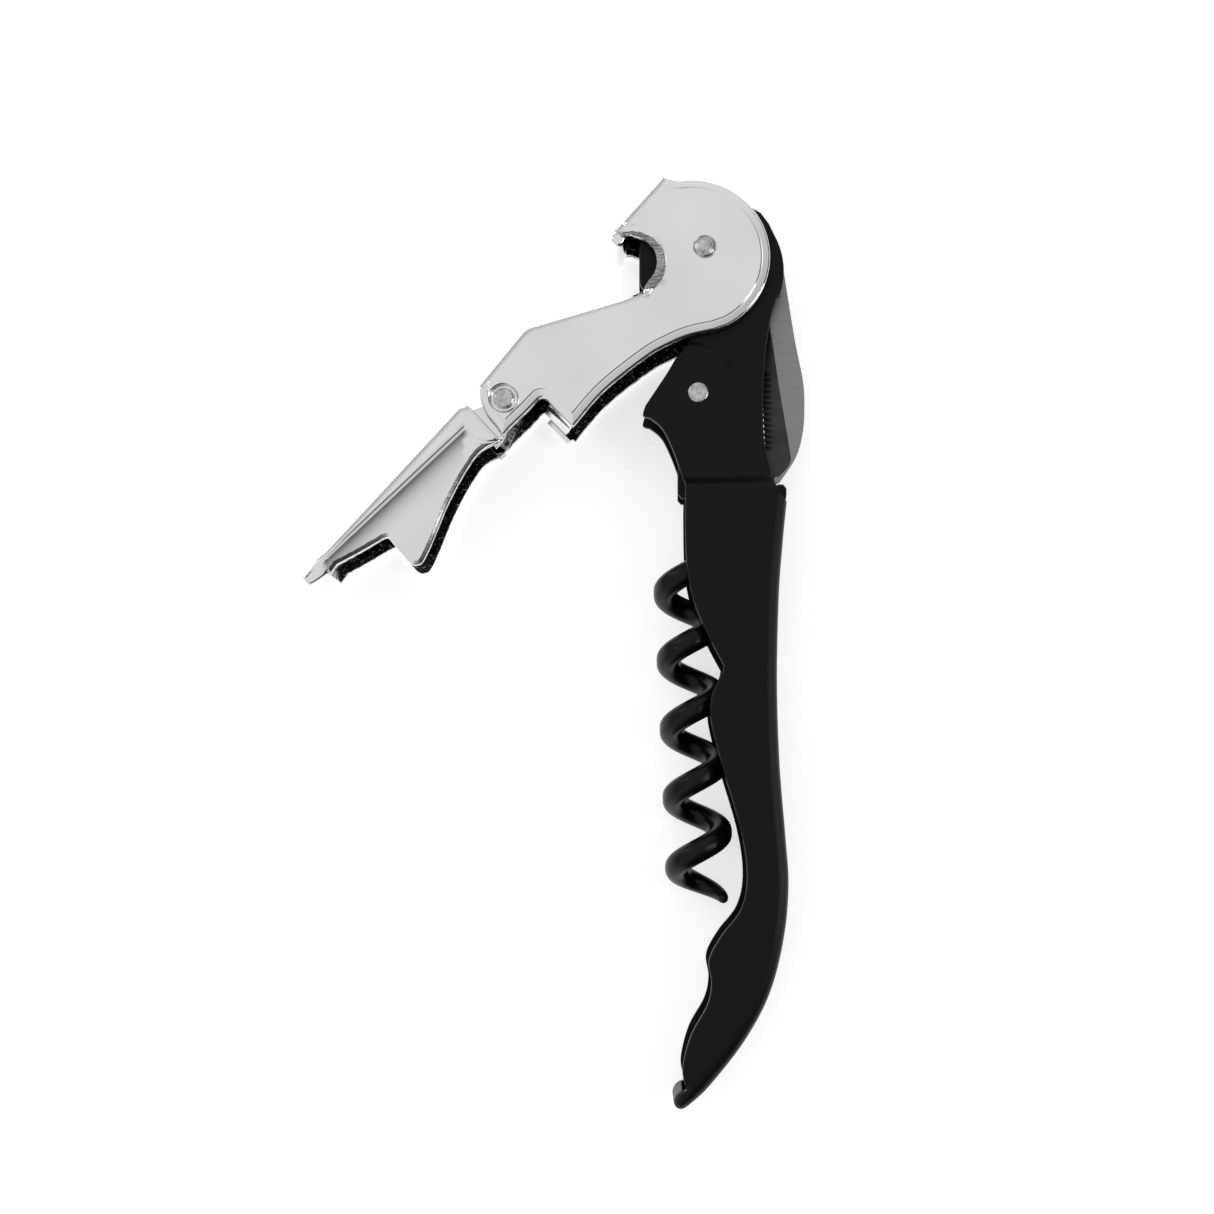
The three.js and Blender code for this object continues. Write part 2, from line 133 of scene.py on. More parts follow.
def arc(centre, radius, start, end, count=40):
    """A round stretch, angles in degrees."""
    turn = np.radians(np.linspace(start, end, count + 1))
    return np.asarray(centre) + radius * np.column_stack([np.cos(turn), np.sin(turn)])


def cut_finely(line, step):
    """The same line with no stretch longer than the step, and none very short."""
    out = [line[0]]
    for a, b in zip(line[:-1], line[1:]):
        parts = max(1, math.ceil(np.linalg.norm(b - a) / step))
        out.extend(a + (b - a) * k / parts for k in range(1, parts + 1))
    kept = [out[0]]
    for point in out[1:-1]:
        if np.linalg.norm(point - kept[-1]) > 0.2 * step:
            kept.append(point)
    kept.append(out[-1])
    return np.array(kept)


def beside(line, distance):
    """The line moved to its left."""
    ahead = np.vstack([line[1:], line[-1:]])
    behind = np.vstack([line[:1], line[:-1]])
    way = ahead - behind
    way /= np.linalg.norm(way, axis=1)[:, None]
    return line + distance * np.column_stack([-way[:, 1], way[:, 0]])


def nearest(points, starts, ends):
    """Distance from each point to the nearest of the stretches, and the way straight away from it."""
    distance = np.full(len(points), 1.0)
    away = np.zeros((len(points), 2))
    along = ends - starts
    length = np.maximum((along**2).sum(1), 1e-18)
    for first in range(0, len(points), 1500):
        part = points[first : first + 1500]
        offset = part[:, None] - starts[None]
        t = np.clip((offset * along[None]).sum(2) / length[None], 0, 1)
        gap = offset - t[..., None] * along[None]
        size = np.linalg.norm(gap, axis=2)
        best = size.argmin(1)
        rows = np.arange(len(part))
        distance[first : first + 1500] = size[rows, best]
        away[first : first + 1500] = gap[rows, best] / np.maximum(size[rows, best], 1e-12)[:, None]
    return distance, away


def inside(points, ring):
    """Which points lie inside the closed ring."""
    x, y = points[:, 0:1], points[:, 1:2]
    a, b = ring, np.roll(ring, -1, axis=0)
    spans = (a[None, :, 1] > y) != (b[None, :, 1] > y)
    rise = np.where(b[:, 1] == a[:, 1], 1e-12, b[:, 1] - a[:, 1])
    cross = a[None, :, 0] + (y - a[None, :, 1]) * (b[:, 0] - a[:, 0])[None] / rise[None]
    return (spans & (x < cross)).sum(1) % 2 == 1


def ease(t):
    """From 0 to 1 with a soft start and end."""
    t = np.clip(t, 0, 1)
    return t * t * (3 - 2 * t)


# ---------------------------------------------------------------- how a sheet's edge falls away


def rounded(distance, radius):
    """Fall and tilt of a quarter-round edge."""
    u = np.clip(1 - distance / radius, 0, 1)
    return radius * (1 - np.sqrt(1 - u * u)), np.arcsin(u)


def leaning(distance, width=RIM_WIDTH, slope=RIM_SLOPE, radius=RIM_ROUND):
    """Fall and tilt of a pressed edge: a narrow band that leans out, then a round."""
    fall, tilt = rounded(distance, radius)
    band = np.maximum(width - distance, 0)
    return fall + slope * band, np.maximum(tilt, np.where(band > 0, math.atan(slope), 0))


def slope_along(height, points, way):
    """How steeply a height rises along a way, x or y."""
    small = 0.01 * MM
    offset = small * np.array(way)
    return (height(points + offset) - height(points - offset)) / (2 * small)


# ---------------------------------------------------------------- mesh pieces


class Shell:
    """Collects faces with the normal of each corner, then makes one object of them."""

    def __init__(self):
        self.points = []
        self.faces = []
        self.normals = []
        self.finish = []

    def add_points(self, points):
        first = len(self.points)
        self.points.extend(map(tuple, points))
        return np.arange(first, len(self.points))

    def face(self, corners, normals, finish=0):
        kept = []
        for corner, normal in zip(corners, normals):
            if corner not in [k[0] for k in kept]:
                kept.append((int(corner), tuple(normal)))
        if len(kept) > 2:
            self.faces.append([k[0] for k in kept])
            self.normals.extend(k[1] for k in kept)
            self.finish.append(finish)

    def build(self, name, materials):
        mesh = bpy.data.meshes.new(name)
        used = sorted({corner for face in self.faces for corner in face})
        place_of = {old: new for new, old in enumerate(used)}
        placed = np.array(self.points)[used] + PIVOT
        faces = [[place_of[corner] for corner in face] for face in self.faces]
        mesh.from_pydata(placed.tolist(), [], faces)
        mesh.polygons.foreach_set("material_index", self.finish)
        mesh.polygons.foreach_set("use_smooth", [True] * len(self.faces))
        mesh.normals_split_custom_set(self.normals)
        for material in materials:
            mesh.materials.append(material)
        piece = bpy.data.objects.new(name, mesh)
        bpy.context.collection.objects.link(piece)
        return piece


def joined_outline(runs, step):
    """One anticlockwise ring from runs that follow each other, with the index stretches of its folds."""
    ring = []
    folds = []
    for kind, line in runs:
        line = cut_finely(line, step)
        first = len(ring)
        if ring and np.linalg.norm(line[0] - ring[-1]) < 1e-6:
            first -= 1
            line = line[1:]
        ring.extend(line)
        if kind == "fold":
            folds.append((first, len(ring) - 1))
    ring = np.array(ring)
    if np.linalg.norm(ring[0] - ring[-1]) < 1e-6:
        ring = ring[:-1]
    x, y = ring[:, 0], ring[:, 1]
    if (x * np.roll(y, -1) - np.roll(x, -1) * y).sum() < 0:
        ring = ring[::-1]
        last = len(ring) - 1
        folds = [(last - b, last - a) for a, b in folds]
    return ring, [np.arange(a, b + 1) % len(ring) for a, b in folds]


def outward_normals(ring):
    way = np.roll(ring, -1, axis=0) - ring
    way /= np.linalg.norm(way, axis=1)[:, None]
    turned = np.column_stack([way[:, 1], -way[:, 0]])
    mean = turned + np.roll(turned, 1, axis=0)
    return mean / np.linalg.norm(mean, axis=1)[:, None]


def filling(ring, rows, spacing, keep_clear):
    """Points inside the ring: rows that follow its edge, then an even scatter in rows."""
    outward = outward_normals(ring)
    ends = np.roll(ring, -1, axis=0)
    picked = []
    for row in rows:
        candidate = ring - outward * row
        distance, _ = nearest(candidate, ring, ends)
        keep = (distance > 0.985 * row) & inside(candidate, ring)
        kept = candidate[keep]
        if len(kept):
            gap = np.linalg.norm(np.diff(kept, axis=0, prepend=kept[-1:]), axis=1)
            picked.append(kept[gap > 0.02 * MM])
    low, high = ring.min(0), ring.max(0)
    columns = np.arange(low[0], high[0], spacing)
    for i, y in enumerate(np.arange(low[1], high[1], spacing * 0.87)):
        line = np.column_stack([columns + (i % 2) * spacing / 2, np.full(len(columns), y)])
        distance, _ = nearest(line, ring, ends)
        picked.append(line[(distance > max(rows) + spacing * 0.5) & inside(line, ring)])
    picked = np.vstack(picked)
    for line, clear in keep_clear:
        distance, _ = nearest(picked, line[:-1], line[1:])
        picked = picked[distance > clear]
    return picked


def triangulated(ring, lines, loose):
    """Triangles inside the ring that keep the given lines as edges."""
    points = [ring]
    edges = [(i, (i + 1) % len(ring)) for i in range(len(ring))]
    places = []
    count = len(ring)
    for line in lines:
        points.append(line)
        places.append(np.arange(count, count + len(line)))
        edges += [(i, i + 1) for i in range(count, count + len(line) - 1)]
        count += len(line)
    points.append(loose)
    flat = np.vstack(points)
    made = delaunay_2d_cdt([Vector(p / MM) for p in flat], edges, [], 1, 1e-5)
    came_from = {}
    for new, olds in enumerate(made[3]):
        for old in olds:
            came_from[old] = new
    spots = np.array([tuple(p) for p in made[0]]) * MM
    return spots, np.array(made[2]), came_from, places


def folded_sheet(name, materials, runs, shape, step, rows, spacing, creases=()):
    """Two like side walls, and the folded webs that join them, as one closed piece.

    runs are the stretches of the outline, free or folded. shape gives, for points of the wall, its height
    outside and inside, how it falls at a free edge and at a fold, and which finish it has. step is the
    longest stretch on the outline, rows are distances in from it that get their own points, and spacing
    is the distance between the points elsewhere. creases are lines that stay edges of the mesh."""
    ring, folds = joined_outline(runs, step)
    in_fold = np.zeros(len(ring), bool)
    for fold in folds:
        in_fold[fold[:-1]] = True  # the stretch that starts at this point is folded
    ends = np.roll(ring, -1, axis=0)
    inner_lines = []
    for fold in [] if shape.solid else folds:
        line = ring[fold]
        moved = beside(line, shape.sheet)
        distance, _ = nearest(moved, line[:-1], line[1:])
        inner_lines.append(moved[distance > 0.985 * shape.sheet])
    fold_starts = ring[in_fold]
    fold_ends = ends[in_fold]
    free_starts = ring[~in_fold]
    free_ends = ends[~in_fold]
    clear = [(line, 0.12 * MM) for line in inner_lines]
    clear += [(line, 0.12 * MM) for line in creases]
    loose = filling(ring, rows, spacing, clear)
    guides = []
    for fold, line in zip(folds, inner_lines):
        guides.append(np.vstack([ring[fold[0]][None], line, ring[fold[-1]][None]]))
    spots, triangles, index, places = triangulated(ring, guides + list(creases), loose)

    outward = outward_normals(ring)
    rim = np.array([index[i] for i in range(len(ring))])
    if len(free_starts):
        free_distance, free_away = nearest(spots, free_starts, free_ends)
        free_away[rim[~in_fold]] = -outward[~in_fold]
    else:
        free_distance, free_away = np.ones(len(spots)), np.zeros((len(spots), 2))
    fall, tilt = shape.free_edge(spots, free_distance)
    away = free_away
    bottom = shape.inside_height(spots)
    if folds:
        fold_distance, fold_away = nearest(spots, fold_starts, fold_ends)
        for fold in folds:
            fold_away[rim[fold]] = -outward[fold]
            fold_distance[rim[fold]] = 0
        fold_fall, fold_tilt = rounded(fold_distance, shape.fold_radius(spots))
        folded = fold_fall > fall
        fall = np.where(folded, fold_fall, fall)
        tilt = np.where(folded, fold_tilt, tilt)
        away = np.where(folded[:, None], fold_away, free_away)
        inner_radius = max(shape.fold - shape.sheet, 1e-6)
        inner_fall, _ = rounded(np.maximum(fold_distance - shape.sheet, 0), inner_radius)
        bottom = bottom - inner_fall
    height = shape.outside_height(spots)
    slope_x = slope_along(shape.outside_height, spots, [1, 0])
    slope_y = slope_along(shape.outside_height, spots, [0, 1])
    groove, groove_slope = shape.groove(free_distance)
    slope_x = slope_x - groove_slope * free_away[:, 0]
    slope_y = slope_y - groove_slope * free_away[:, 1]
    top = height - fall - groove
    normal = np.column_stack([
        -slope_x * np.cos(tilt) - away[:, 0] * np.sin(tilt),
        -slope_y * np.cos(tilt) - away[:, 1] * np.sin(tilt),
        np.cos(tilt),
    ])
    normal /= np.linalg.norm(normal, axis=1)[:, None]
    for fold in folds:
        bottom[rim[fold]] = top[rim[fold]]

    a, b, c = (spots[triangles[:, k]] for k in range(3))
    turn = (b[:, 0] - a[:, 0]) * (c[:, 1] - a[:, 1]) - (b[:, 1] - a[:, 1]) * (c[:, 0] - a[:, 0])
    triangles = np.where(turn[:, None] < 0, triangles[:, ::-1], triangles)
    centre = (a + b + c) / 3
    band = np.full(len(triangles), shape.solid)
    for fold, line in zip(folds, inner_lines):
        band |= inside(centre, np.vstack([ring[fold], line[::-1]]))
    finish = shape.finish(centre)

    shell = Shell()
    joined = set()
    for fold in folds:
        joined.update(rim[fold].tolist())
    inner_slope = slope_along(shape.inside_height, spots, [0, 1])
    for side in (1, -1):
        flip = np.array([1, 1, side])
        outer = shell.add_points(np.column_stack([spots, side * top]))
        inner = shell.add_points(np.column_stack([spots, side * bottom]))
        for spot in joined:
            inner[spot] = outer[spot]
        under = np.column_stack([np.zeros(len(spots)), inner_slope, -np.ones(len(spots))])
        under /= np.linalg.norm(under, axis=1)[:, None]
        for number, triangle in enumerate(triangles):
            corners = triangle if side > 0 else triangle[::-1]
            shell.face(outer[corners], normal[corners] * flip, int(finish[number]))
            if not band[number]:
                back = corners[::-1]
                shell.face(inner[back], under[back] * flip, 2)
        for i in range(len(ring)):
            if in_fold[i]:
                continue
            j = (i + 1) % len(ring)
            p, q = rim[i], rim[j]
            way = ring[j] - ring[i]
            level = np.array([way[1], -way[0]]) / np.linalg.norm(way)
            bent = [outward[i] if outward[i] @ level > 0.9 else level,
                    outward[j] if outward[j] @ level > 0.9 else level]
            first = np.append(bent[0], 0)
            second = np.append(bent[1], 0)
            corners = [inner[p], inner[q], outer[q], outer[p]]
            normals = [first, second, second, first]
            if side < 0:
                corners.reverse()
                normals.reverse()
            shell.face(corners, normals, 1)
        if side > 0:
            near_outer, near_inner = outer, inner
    for fold in folds:
        for i, j in zip(fold[:-1], fold[1:]):
            p, q = rim[i], rim[j]
            first = np.append(outward[i], 0)
            second = np.append(outward[j], 0)
            shell.face([outer[p], outer[q], near_outer[q], near_outer[p]], [first, second, second, first], 0)
    for place in places[: len(inner_lines)]:
        web = [index[k] for k in place]
        for k in range(len(web) - 1):
            p, q = web[k], web[k + 1]
            way = spots[q] - spots[p]
            level = np.append(np.array([-way[1], way[0]]) / max(np.linalg.norm(way), 1e-12), 0)
            at_cut_end = k in (0, len(web) - 2)
            corners = [near_inner[p], near_inner[q], inner[q], inner[p]]
            shell.face(corners, [level] * 4, 1 if at_cut_end else 2)
    return shell.build(name, materials)


def add_piece(name, points, faces, material, sharp):
    """A smooth-shaded piece with creases where faces meet at more than the sharp angle, in degrees."""
    mesh = bpy.data.meshes.new(name)
    mesh.from_pydata((np.array(points) + PIVOT).tolist(), [], faces)
    mesh.shade_smooth()
    mesh.set_sharp_from_angle(angle=math.radians(sharp))
    mesh.materials.append(material)
    piece = bpy.data.objects.new(name, mesh)
    bpy.context.collection.objects.link(piece)
    return piece


def tube_faces(rings, around):
    """Faces between rings of points that follow each other, with both ends closed."""
    faces = []
    for ring in range(rings - 1):
        for k in range(around):
            j = (k + 1) % around
            below = ring * around
            above = below + around
            faces.append((below + k, below + j, above + j, above + k))
    last = (rings - 1) * around
    faces.append(tuple(range(around))[::-1])
    faces.append(tuple(last + k for k in range(around)))
    return faces


def turned(name, material, centre, profile):
    """A turned piece about an axis through the walls: the profile is radius and height, from the far end."""
    around = 72
    turn = np.linspace(0, 2 * math.pi, around, endpoint=False)
    points = [np.column_stack([centre[0] + radius * np.cos(turn), centre[1] + radius * np.sin(turn),
                               np.full(around, height)]) for radius, height in profile]
    return add_piece(name, np.vstack(points), tube_faces(len(profile), around), material, 50)


# ---------------------------------------------------------------- shader helpers


def node_group(name, inputs, outputs):
    tree = bpy.data.node_groups.new(name, "ShaderNodeTree")
    for label, value in inputs:
        socket = tree.interface.new_socket(label, in_out="INPUT", socket_type="NodeSocketFloat")
        socket.default_value = value
    for label in outputs:
        tree.interface.new_socket(label, in_out="OUTPUT", socket_type="NodeSocketFloat")
    return tree, tree.nodes.new("NodeGroupInput"), tree.nodes.new("NodeGroupOutput")


def link(tree, source, target):
    tree.links.new(source, target)


def math_node(tree, operation, first, second):
    node = tree.nodes.new("ShaderNodeMath")
    node.operation = operation
    for socket, value in zip(node.inputs, (first, second)):
        if isinstance(value, (int, float)):
            socket.default_value = value
        else:
            link(tree, value, socket)
    return node.outputs[0]


def object_noise(tree, scale, detail=3.0, stretch=None):
    """Noise fixed to the piece; scale is in repeats per metre."""
    where = tree.nodes.new("ShaderNodeTexCoord").outputs["Object"]
    if stretch:
        mapping = tree.nodes.new("ShaderNodeMapping")
        mapping.inputs["Rotation"].default_value = (0, 0, stretch[0])
        mapping.inputs["Scale"].default_value = stretch[1]
        link(tree, where, mapping.inputs["Vector"])
        where = mapping.outputs[0]
    noise = tree.nodes.new("ShaderNodeTexNoise")
    noise.inputs["Detail"].default_value = detail
    link(tree, where, noise.inputs["Vector"])
    if isinstance(scale, (int, float)):
        noise.inputs["Scale"].default_value = scale
    else:
        link(tree, scale, noise.inputs["Scale"])
    return noise.outputs["Fac"]


def ranged(tree, value, low, high, out_low, out_high):
    """The value carried from one range to another, held at both ends."""
    node = tree.nodes.new("ShaderNodeMapRange")
    for socket, number in zip(node.inputs[1:5], (low, high, out_low, out_high)):
        if isinstance(number, (int, float)):
            socket.default_value = number
        else:
            link(tree, number, socket)
    link(tree, value, node.inputs[0])
    return node.outputs[0]


def give_out(tree, noise, low, high, given, out):
    """Sends a noise out as a height, and as a value between the group's Low and High."""
    link(tree, noise, out.inputs["Height"])
    value = ranged(tree, noise, low, high, given.outputs["Low"], given.outputs["High"])
    link(tree, value, out.inputs["Value"])


def make_grain():
    """Fine even grain: a height, and a value between Low and High."""
    tree, given, out = node_group(
        "fine_grain", [("Scale", 5000.0), ("Low", 0.4), ("High", 0.5)], ["Height", "Value"])
    noise = object_noise(tree, given.outputs["Scale"])
    give_out(tree, noise, 0.3, 0.7, given, out)
    return tree


def make_waviness():
    """Slow unevenness of pressed and plated sheet: a height, and a value between Low and High."""
    tree, given, out = node_group(
        "slow_waves", [("Scale", 120.0), ("Low", 0.0), ("High", 1.0)], ["Height", "Value"])
    noise = object_noise(tree, given.outputs["Scale"], detail=1.0)
    give_out(tree, noise, 0.3, 0.7, given, out)
    return tree


def make_brushing():
    """Fine straight marks left by a wheel or belt, along one way in the wall's plane."""
    tree, given, out = node_group(
        "brushed_marks", [("Scale", 1.0), ("Low", 0.0), ("High", 1.0)], ["Height", "Value"])
    drawn_out = (math.radians(35), (300, 6000, 900))
    noise = object_noise(tree, given.outputs["Scale"], detail=4.0, stretch=drawn_out)
    give_out(tree, noise, 0.35, 0.65, given, out)
    return tree


def make_specks():
    """Sparse small marks, dust or pits: 1 on a mark and 0 elsewhere."""
    tree, given, out = node_group("sparse_specks", [("Scale", 900.0), ("Rarity", 0.72)], ["Mask"])
    noise = object_noise(tree, given.outputs["Scale"], detail=2.0)
    over = math_node(tree, "SUBTRACT", noise, given.outputs["Rarity"])
    link(tree, ranged(tree, over, 0.0, 0.03, 0.0, 1.0), out.inputs["Mask"])
    return tree


GRAIN = make_grain()
WAVES = make_waviness()
BRUSHING = make_brushing()
SPECKS = make_specks()


class Finish:
    """One material: a principled shader, and the groups that feed it."""

    def __init__(self, name, colour, metallic, roughness, specular=0.5):
        self.material = bpy.data.materials.new(name)
        self.material.use_nodes = True
        self.tree = self.material.node_tree
        self.shader = self.tree.nodes["Principled BSDF"]
        self.shader.inputs["Base Color"].default_value = (*colour, 1)
        self.shader.inputs["Metallic"].default_value = metallic
        self.shader.inputs["Roughness"].default_value = roughness
        self.shader.inputs["Specular IOR Level"].default_value = specular
        self.material.diffuse_color = (*colour, 1)
        self.normal = None

    def place(self, group, **values):
        node = self.tree.nodes.new("ShaderNodeGroup")
        node.node_tree = group
        for label, value in values.items():
            node.inputs[label].default_value = value
        return node

    def bump(self, height, distance, strength=1.0):
        """Raises the surface by the height times the distance."""
        node = self.tree.nodes.new("ShaderNodeBump")
        node.inputs["Distance"].default_value = distance
        node.inputs["Strength"].default_value = strength
        link(self.tree, height, node.inputs["Height"])
        if self.normal:
            link(self.tree, self.normal, node.inputs["Normal"])
        self.normal = node.outputs[0]
        link(self.tree, self.normal, self.shader.inputs["Normal"])

    def tint(self, mask, first, second):
        """Base colour between two colours by a mask."""
        node = self.tree.nodes.new("ShaderNodeMix")
        node.data_type = "RGBA"
        node.inputs[6].default_value = (*first, 1)
        node.inputs[7].default_value = (*second, 1)
        link(self.tree, mask, node.inputs[0])
        link(self.tree, node.outputs[2], self.shader.inputs["Base Color"])


def grey(value):
    return (value, value, value * 1.01)


def black_powder_coat():
    finish = Finish("black_powder_coat", grey(0.003), 0.0, 0.45, specular=0.18)
    grain = finish.place(GRAIN, Scale=4200.0, Low=0.34, High=0.46)
    link(finish.tree, grain.outputs["Value"], finish.shader.inputs["Roughness"])
    finish.bump(grain.outputs["Height"], 0.010 * MM)
    waves = finish.place(WAVES, Scale=260.0)
    finish.bump(waves.outputs["Height"], 0.05 * MM)
    specks = finish.place(SPECKS, Scale=1500.0, Rarity=0.76)
    finish.tint(specks.outputs["Mask"], grey(0.003), grey(0.03))
    return finish.material


def lever_chrome():
    finish = Finish("lever_chrome", grey(0.86), 1.0, 0.1)
    waves = finish.place(WAVES, Scale=90.0, Low=0.0, High=1.0)
    finish.tint(waves.outputs["Value"], grey(0.90), grey(0.84))
    brushing = finish.place(BRUSHING, Low=0.09, High=0.15)
    link(finish.tree, brushing.outputs["Value"], finish.shader.inputs["Roughness"])
    finish.bump(waves.outputs["Height"], 0.05 * MM)
    finish.bump(brushing.outputs["Height"], 0.0006 * MM)
    return finish.material


def rough_cut_edge():
    finish = Finish("rough_cut_edge", grey(0.6), 1.0, 0.3)
    grain = finish.place(GRAIN, Scale=1500.0, Low=0.18, High=0.45)
    link(finish.tree, grain.outputs["Value"], finish.shader.inputs["Roughness"])
    finish.bump(grain.outputs["Height"], 0.25 * MM)
    specks = finish.place(SPECKS, Scale=1100.0, Rarity=0.52)
    finish.tint(specks.outputs["Mask"], grey(0.62), grey(0.08))
    return finish.material


# Inner faces of the lever walls: their near-black grey is painted shade of the channel between the two walls,
# with lighter specks scattered over it.
def lever_inside_painted_shade():
    finish = Finish("lever_inside_painted_shade", grey(0.08), 1.0, 0.25)
    grain = finish.place(GRAIN, Scale=1300.0, Low=0.16, High=0.4)
    link(finish.tree, grain.outputs["Value"], finish.shader.inputs["Roughness"])
    finish.bump(grain.outputs["Height"], 0.1 * MM)
    specks = finish.place(SPECKS, Scale=2600.0, Rarity=0.62)
    finish.tint(specks.outputs["Mask"], grey(0.05), grey(0.5))
    return finish.material


def ground_hatching():
    finish = Finish("ground_hatching", grey(0.6), 1.0, 0.3)
    brushing = finish.place(BRUSHING, Scale=2.0, Low=0.0, High=1.0)
    finish.tint(brushing.outputs["Value"], grey(0.5), grey(0.1))
    finish.bump(brushing.outputs["Height"], 0.03 * MM)
    return finish.material


def rivet_steel():
    finish = Finish("rivet_steel", grey(0.55), 1.0, 0.3)
    grain = finish.place(GRAIN, Scale=1200.0, Low=0.24, High=0.4)
    link(finish.tree, grain.outputs["Value"], finish.shader.inputs["Roughness"])
    waves = finish.place(WAVES, Scale=1300.0, Low=0.0, High=1.0)
    finish.tint(waves.outputs["Value"], grey(0.72), grey(0.42))
    finish.bump(waves.outputs["Height"], 0.12 * MM)
    return finish.material


def worm_coat():
    finish = Finish("worm_coat", grey(0.003), 0.0, 0.3, specular=0.22)
    grain = finish.place(GRAIN, Scale=3800.0, Low=0.26, High=0.34)
    link(finish.tree, grain.outputs["Value"], finish.shader.inputs["Roughness"])
    finish.bump(grain.outputs["Height"], 0.008 * MM)
    specks = finish.place(SPECKS, Scale=1700.0, Rarity=0.74)
    finish.tint(specks.outputs["Mask"], grey(0.003), grey(0.05))
    return finish.material


def blade_satin():
    finish = Finish("blade_satin", grey(0.3), 1.0, 0.38)
    brushing = finish.place(BRUSHING, Low=0.0, High=1.0)
    finish.tint(brushing.outputs["Value"], grey(0.29), grey(0.33))
    finish.bump(brushing.outputs["Height"], 0.003 * MM)
    grain = finish.place(GRAIN, Scale=2600.0, Low=0.34, High=0.44)
    link(finish.tree, grain.outputs["Value"], finish.shader.inputs["Roughness"])
    return finish.material


# Ground bevel of the foil blade: its near-black grey is painted shade and painted dark reflection of the
# tilted bevel, much of which lies under the handle's neck; the slow tone changes over it are random.
def ground_bevel_painted_shade():
    finish = Finish("ground_bevel_painted_shade", grey(0.05), 1.0, 0.3)
    brushing = finish.place(BRUSHING, Scale=1.4, Low=0.24, High=0.4)
    link(finish.tree, brushing.outputs["Value"], finish.shader.inputs["Roughness"])
    finish.bump(brushing.outputs["Height"], 0.01 * MM)
    waves = finish.place(WAVES, Scale=400.0)
    finish.tint(waves.outputs["Value"], grey(0.045), grey(0.07))
    return finish.material


def spring_steel():
    finish = Finish("spring_steel", grey(0.3), 1.0, 0.35)
    brushing = finish.place(BRUSHING, Scale=0.6, Low=0.28, High=0.46)
    link(finish.tree, brushing.outputs["Value"], finish.shader.inputs["Roughness"])
    finish.bump(brushing.outputs["Height"], 0.01 * MM)
    waves = finish.place(WAVES, Scale=300.0)
    finish.tint(waves.outputs["Value"], grey(0.24), grey(0.34))
    return finish.material


COAT = black_powder_coat()
CHROME = lever_chrome()
CUT_EDGE = rough_cut_edge()
INSIDE_PAINTED_SHADE = lever_inside_painted_shade()
HATCHING = ground_hatching()
RIVET = rivet_steel()
WORM_COAT = worm_coat()
SATIN = blade_satin()
BEVEL_PAINTED_SHADE = ground_bevel_painted_shade()
SPRING = spring_steel()


# ---------------------------------------------------------------- shapes of the sheets


class Shape:
    """A plain sheet: every piece replaces what differs."""

    sheet = LEVER_SHEET
    fold = LEVER_FOLD
    out = LEVER_OUT
    solid = False  # a solid plate has its two faces only, and no walls apart

    def outside_height(self, points):
        return np.full(len(points), self.out)

    def inside_height(self, points):
        return np.full(len(points), self.out - self.sheet)

    def free_edge(self, points, distance):
        return leaning(distance)

    def groove(self, distance):
        return np.zeros(len(distance)), np.zeros(len(distance))

    def fold_radius(self, points):
        return np.full(len(points), self.fold)

    def finish(self, points):
        return np.zeros(len(points), int)


class PlateShape(Shape):
    """One solid plate, the same on both faces, with a small round all along its edge."""

    solid = True
    fold = 0.06 * MM


def rim_line(distance, deep=0.055 * MM, half_width=0.075 * MM):
    """The faint pressed line where a rolled edge begins: fall, and slope along the distance."""
    t = (distance - RIM_WIDTH) / half_width
    fall = deep * np.exp(-t * t)
    return fall, fall * -2 * t / half_width


# ---------------------------------------------------------------- handle

NECK_END = -31.6 * MM  # the joggle out to the grip ends here
JOGGLE = 1.6 * MM
grip_back = np.vstack([
    mm(9.2, -31.6, 9.5, -31.45, 10.1, -31.5, 10.5, -32.0, 10.5, -32.7),
    smooth(mm(10.42, -33.5, 9.85, -39, 9.3, -46, 9.0, -57, 9.25, -67.5, 9.95, -77, 10.3, -83,
              9.7, -89.5, 7.9, -96.5, 4.7, -102.5, 0.2, -108.2, -2.5, -110.7)),
    smooth(mm(-3.05, -111.05, -3.55, -111.1, -3.95, -110.75, -4.05, -110.2, -3.7, -109.5, -3.05, -109.05), 3),
])
grip_front = np.vstack([
    smooth(mm(-2.6, -108.8, -3.15, -106.2, -2.1, -102, -0.05, -98.3, 0.55, -95.5, 0.25, -92.5,
              1.8, -89.5, 4.3, -86.2, 5.15, -82, 4.4, -76.2, 2.1, -68.2, 0.6, -62, 0.8, -58.6, 2.1, -56)),
    smooth(mm(2.33, -55.1, 0.3, -51.2, -1.6, -46.6, -2.5, -41.5, -2.66, -34.5)),
])
head_back_centre = mm(0.2, -2.7)[0]
neck_line = np.vstack([
    smooth(mm(-2.62, -31.5, -3.3, -29.2, -4.3, -26.4, -5.6, -23.8, -7.2, -22.4)),
    smooth(mm(-7.2, -22.4, -7.85, -22.25, -8.13, -21.9, -7.82, -20.8), 4),
    smooth(mm(-7.3, -20, -5, -16.5, -3.5, -14, -1.9, -12.1, -0.9, -10.9)),
    mm(-0.2, -10.05, -0.3, -9.75),
    arc(LEVER_PIVOT, 9.45 * MM, 263, 215, 20),
    smooth(mm(-8.05, -5.15, -8.55, -4.0, -8.6, 0.9), 5),
    arc(LEVER_PIVOT, 8.55 * MM, 169, 44),
    mm(7.5, 5.15, 8.6, 3.65),
    arc(head_back_centre, 10.3 * MM, 28, -20, 24),
    smooth(mm(9.54, -6.5, 8.7, -9.3, 7.95, -14.2, 7.65, -20, 7.75, -25, 8.35, -28.2, 9.2, -31.6)),
])
panel_ring = np.vstack([
    mm(-14, -12.6),
    smooth(mm(-0.9, -12.6, 0.92, -13.1, 2.25, -13.87, 3.1, -15.1, 3.5, -16.6, 3.7, -19.5)),
    mm(3.65, -30.2, -14, -30.2),
])


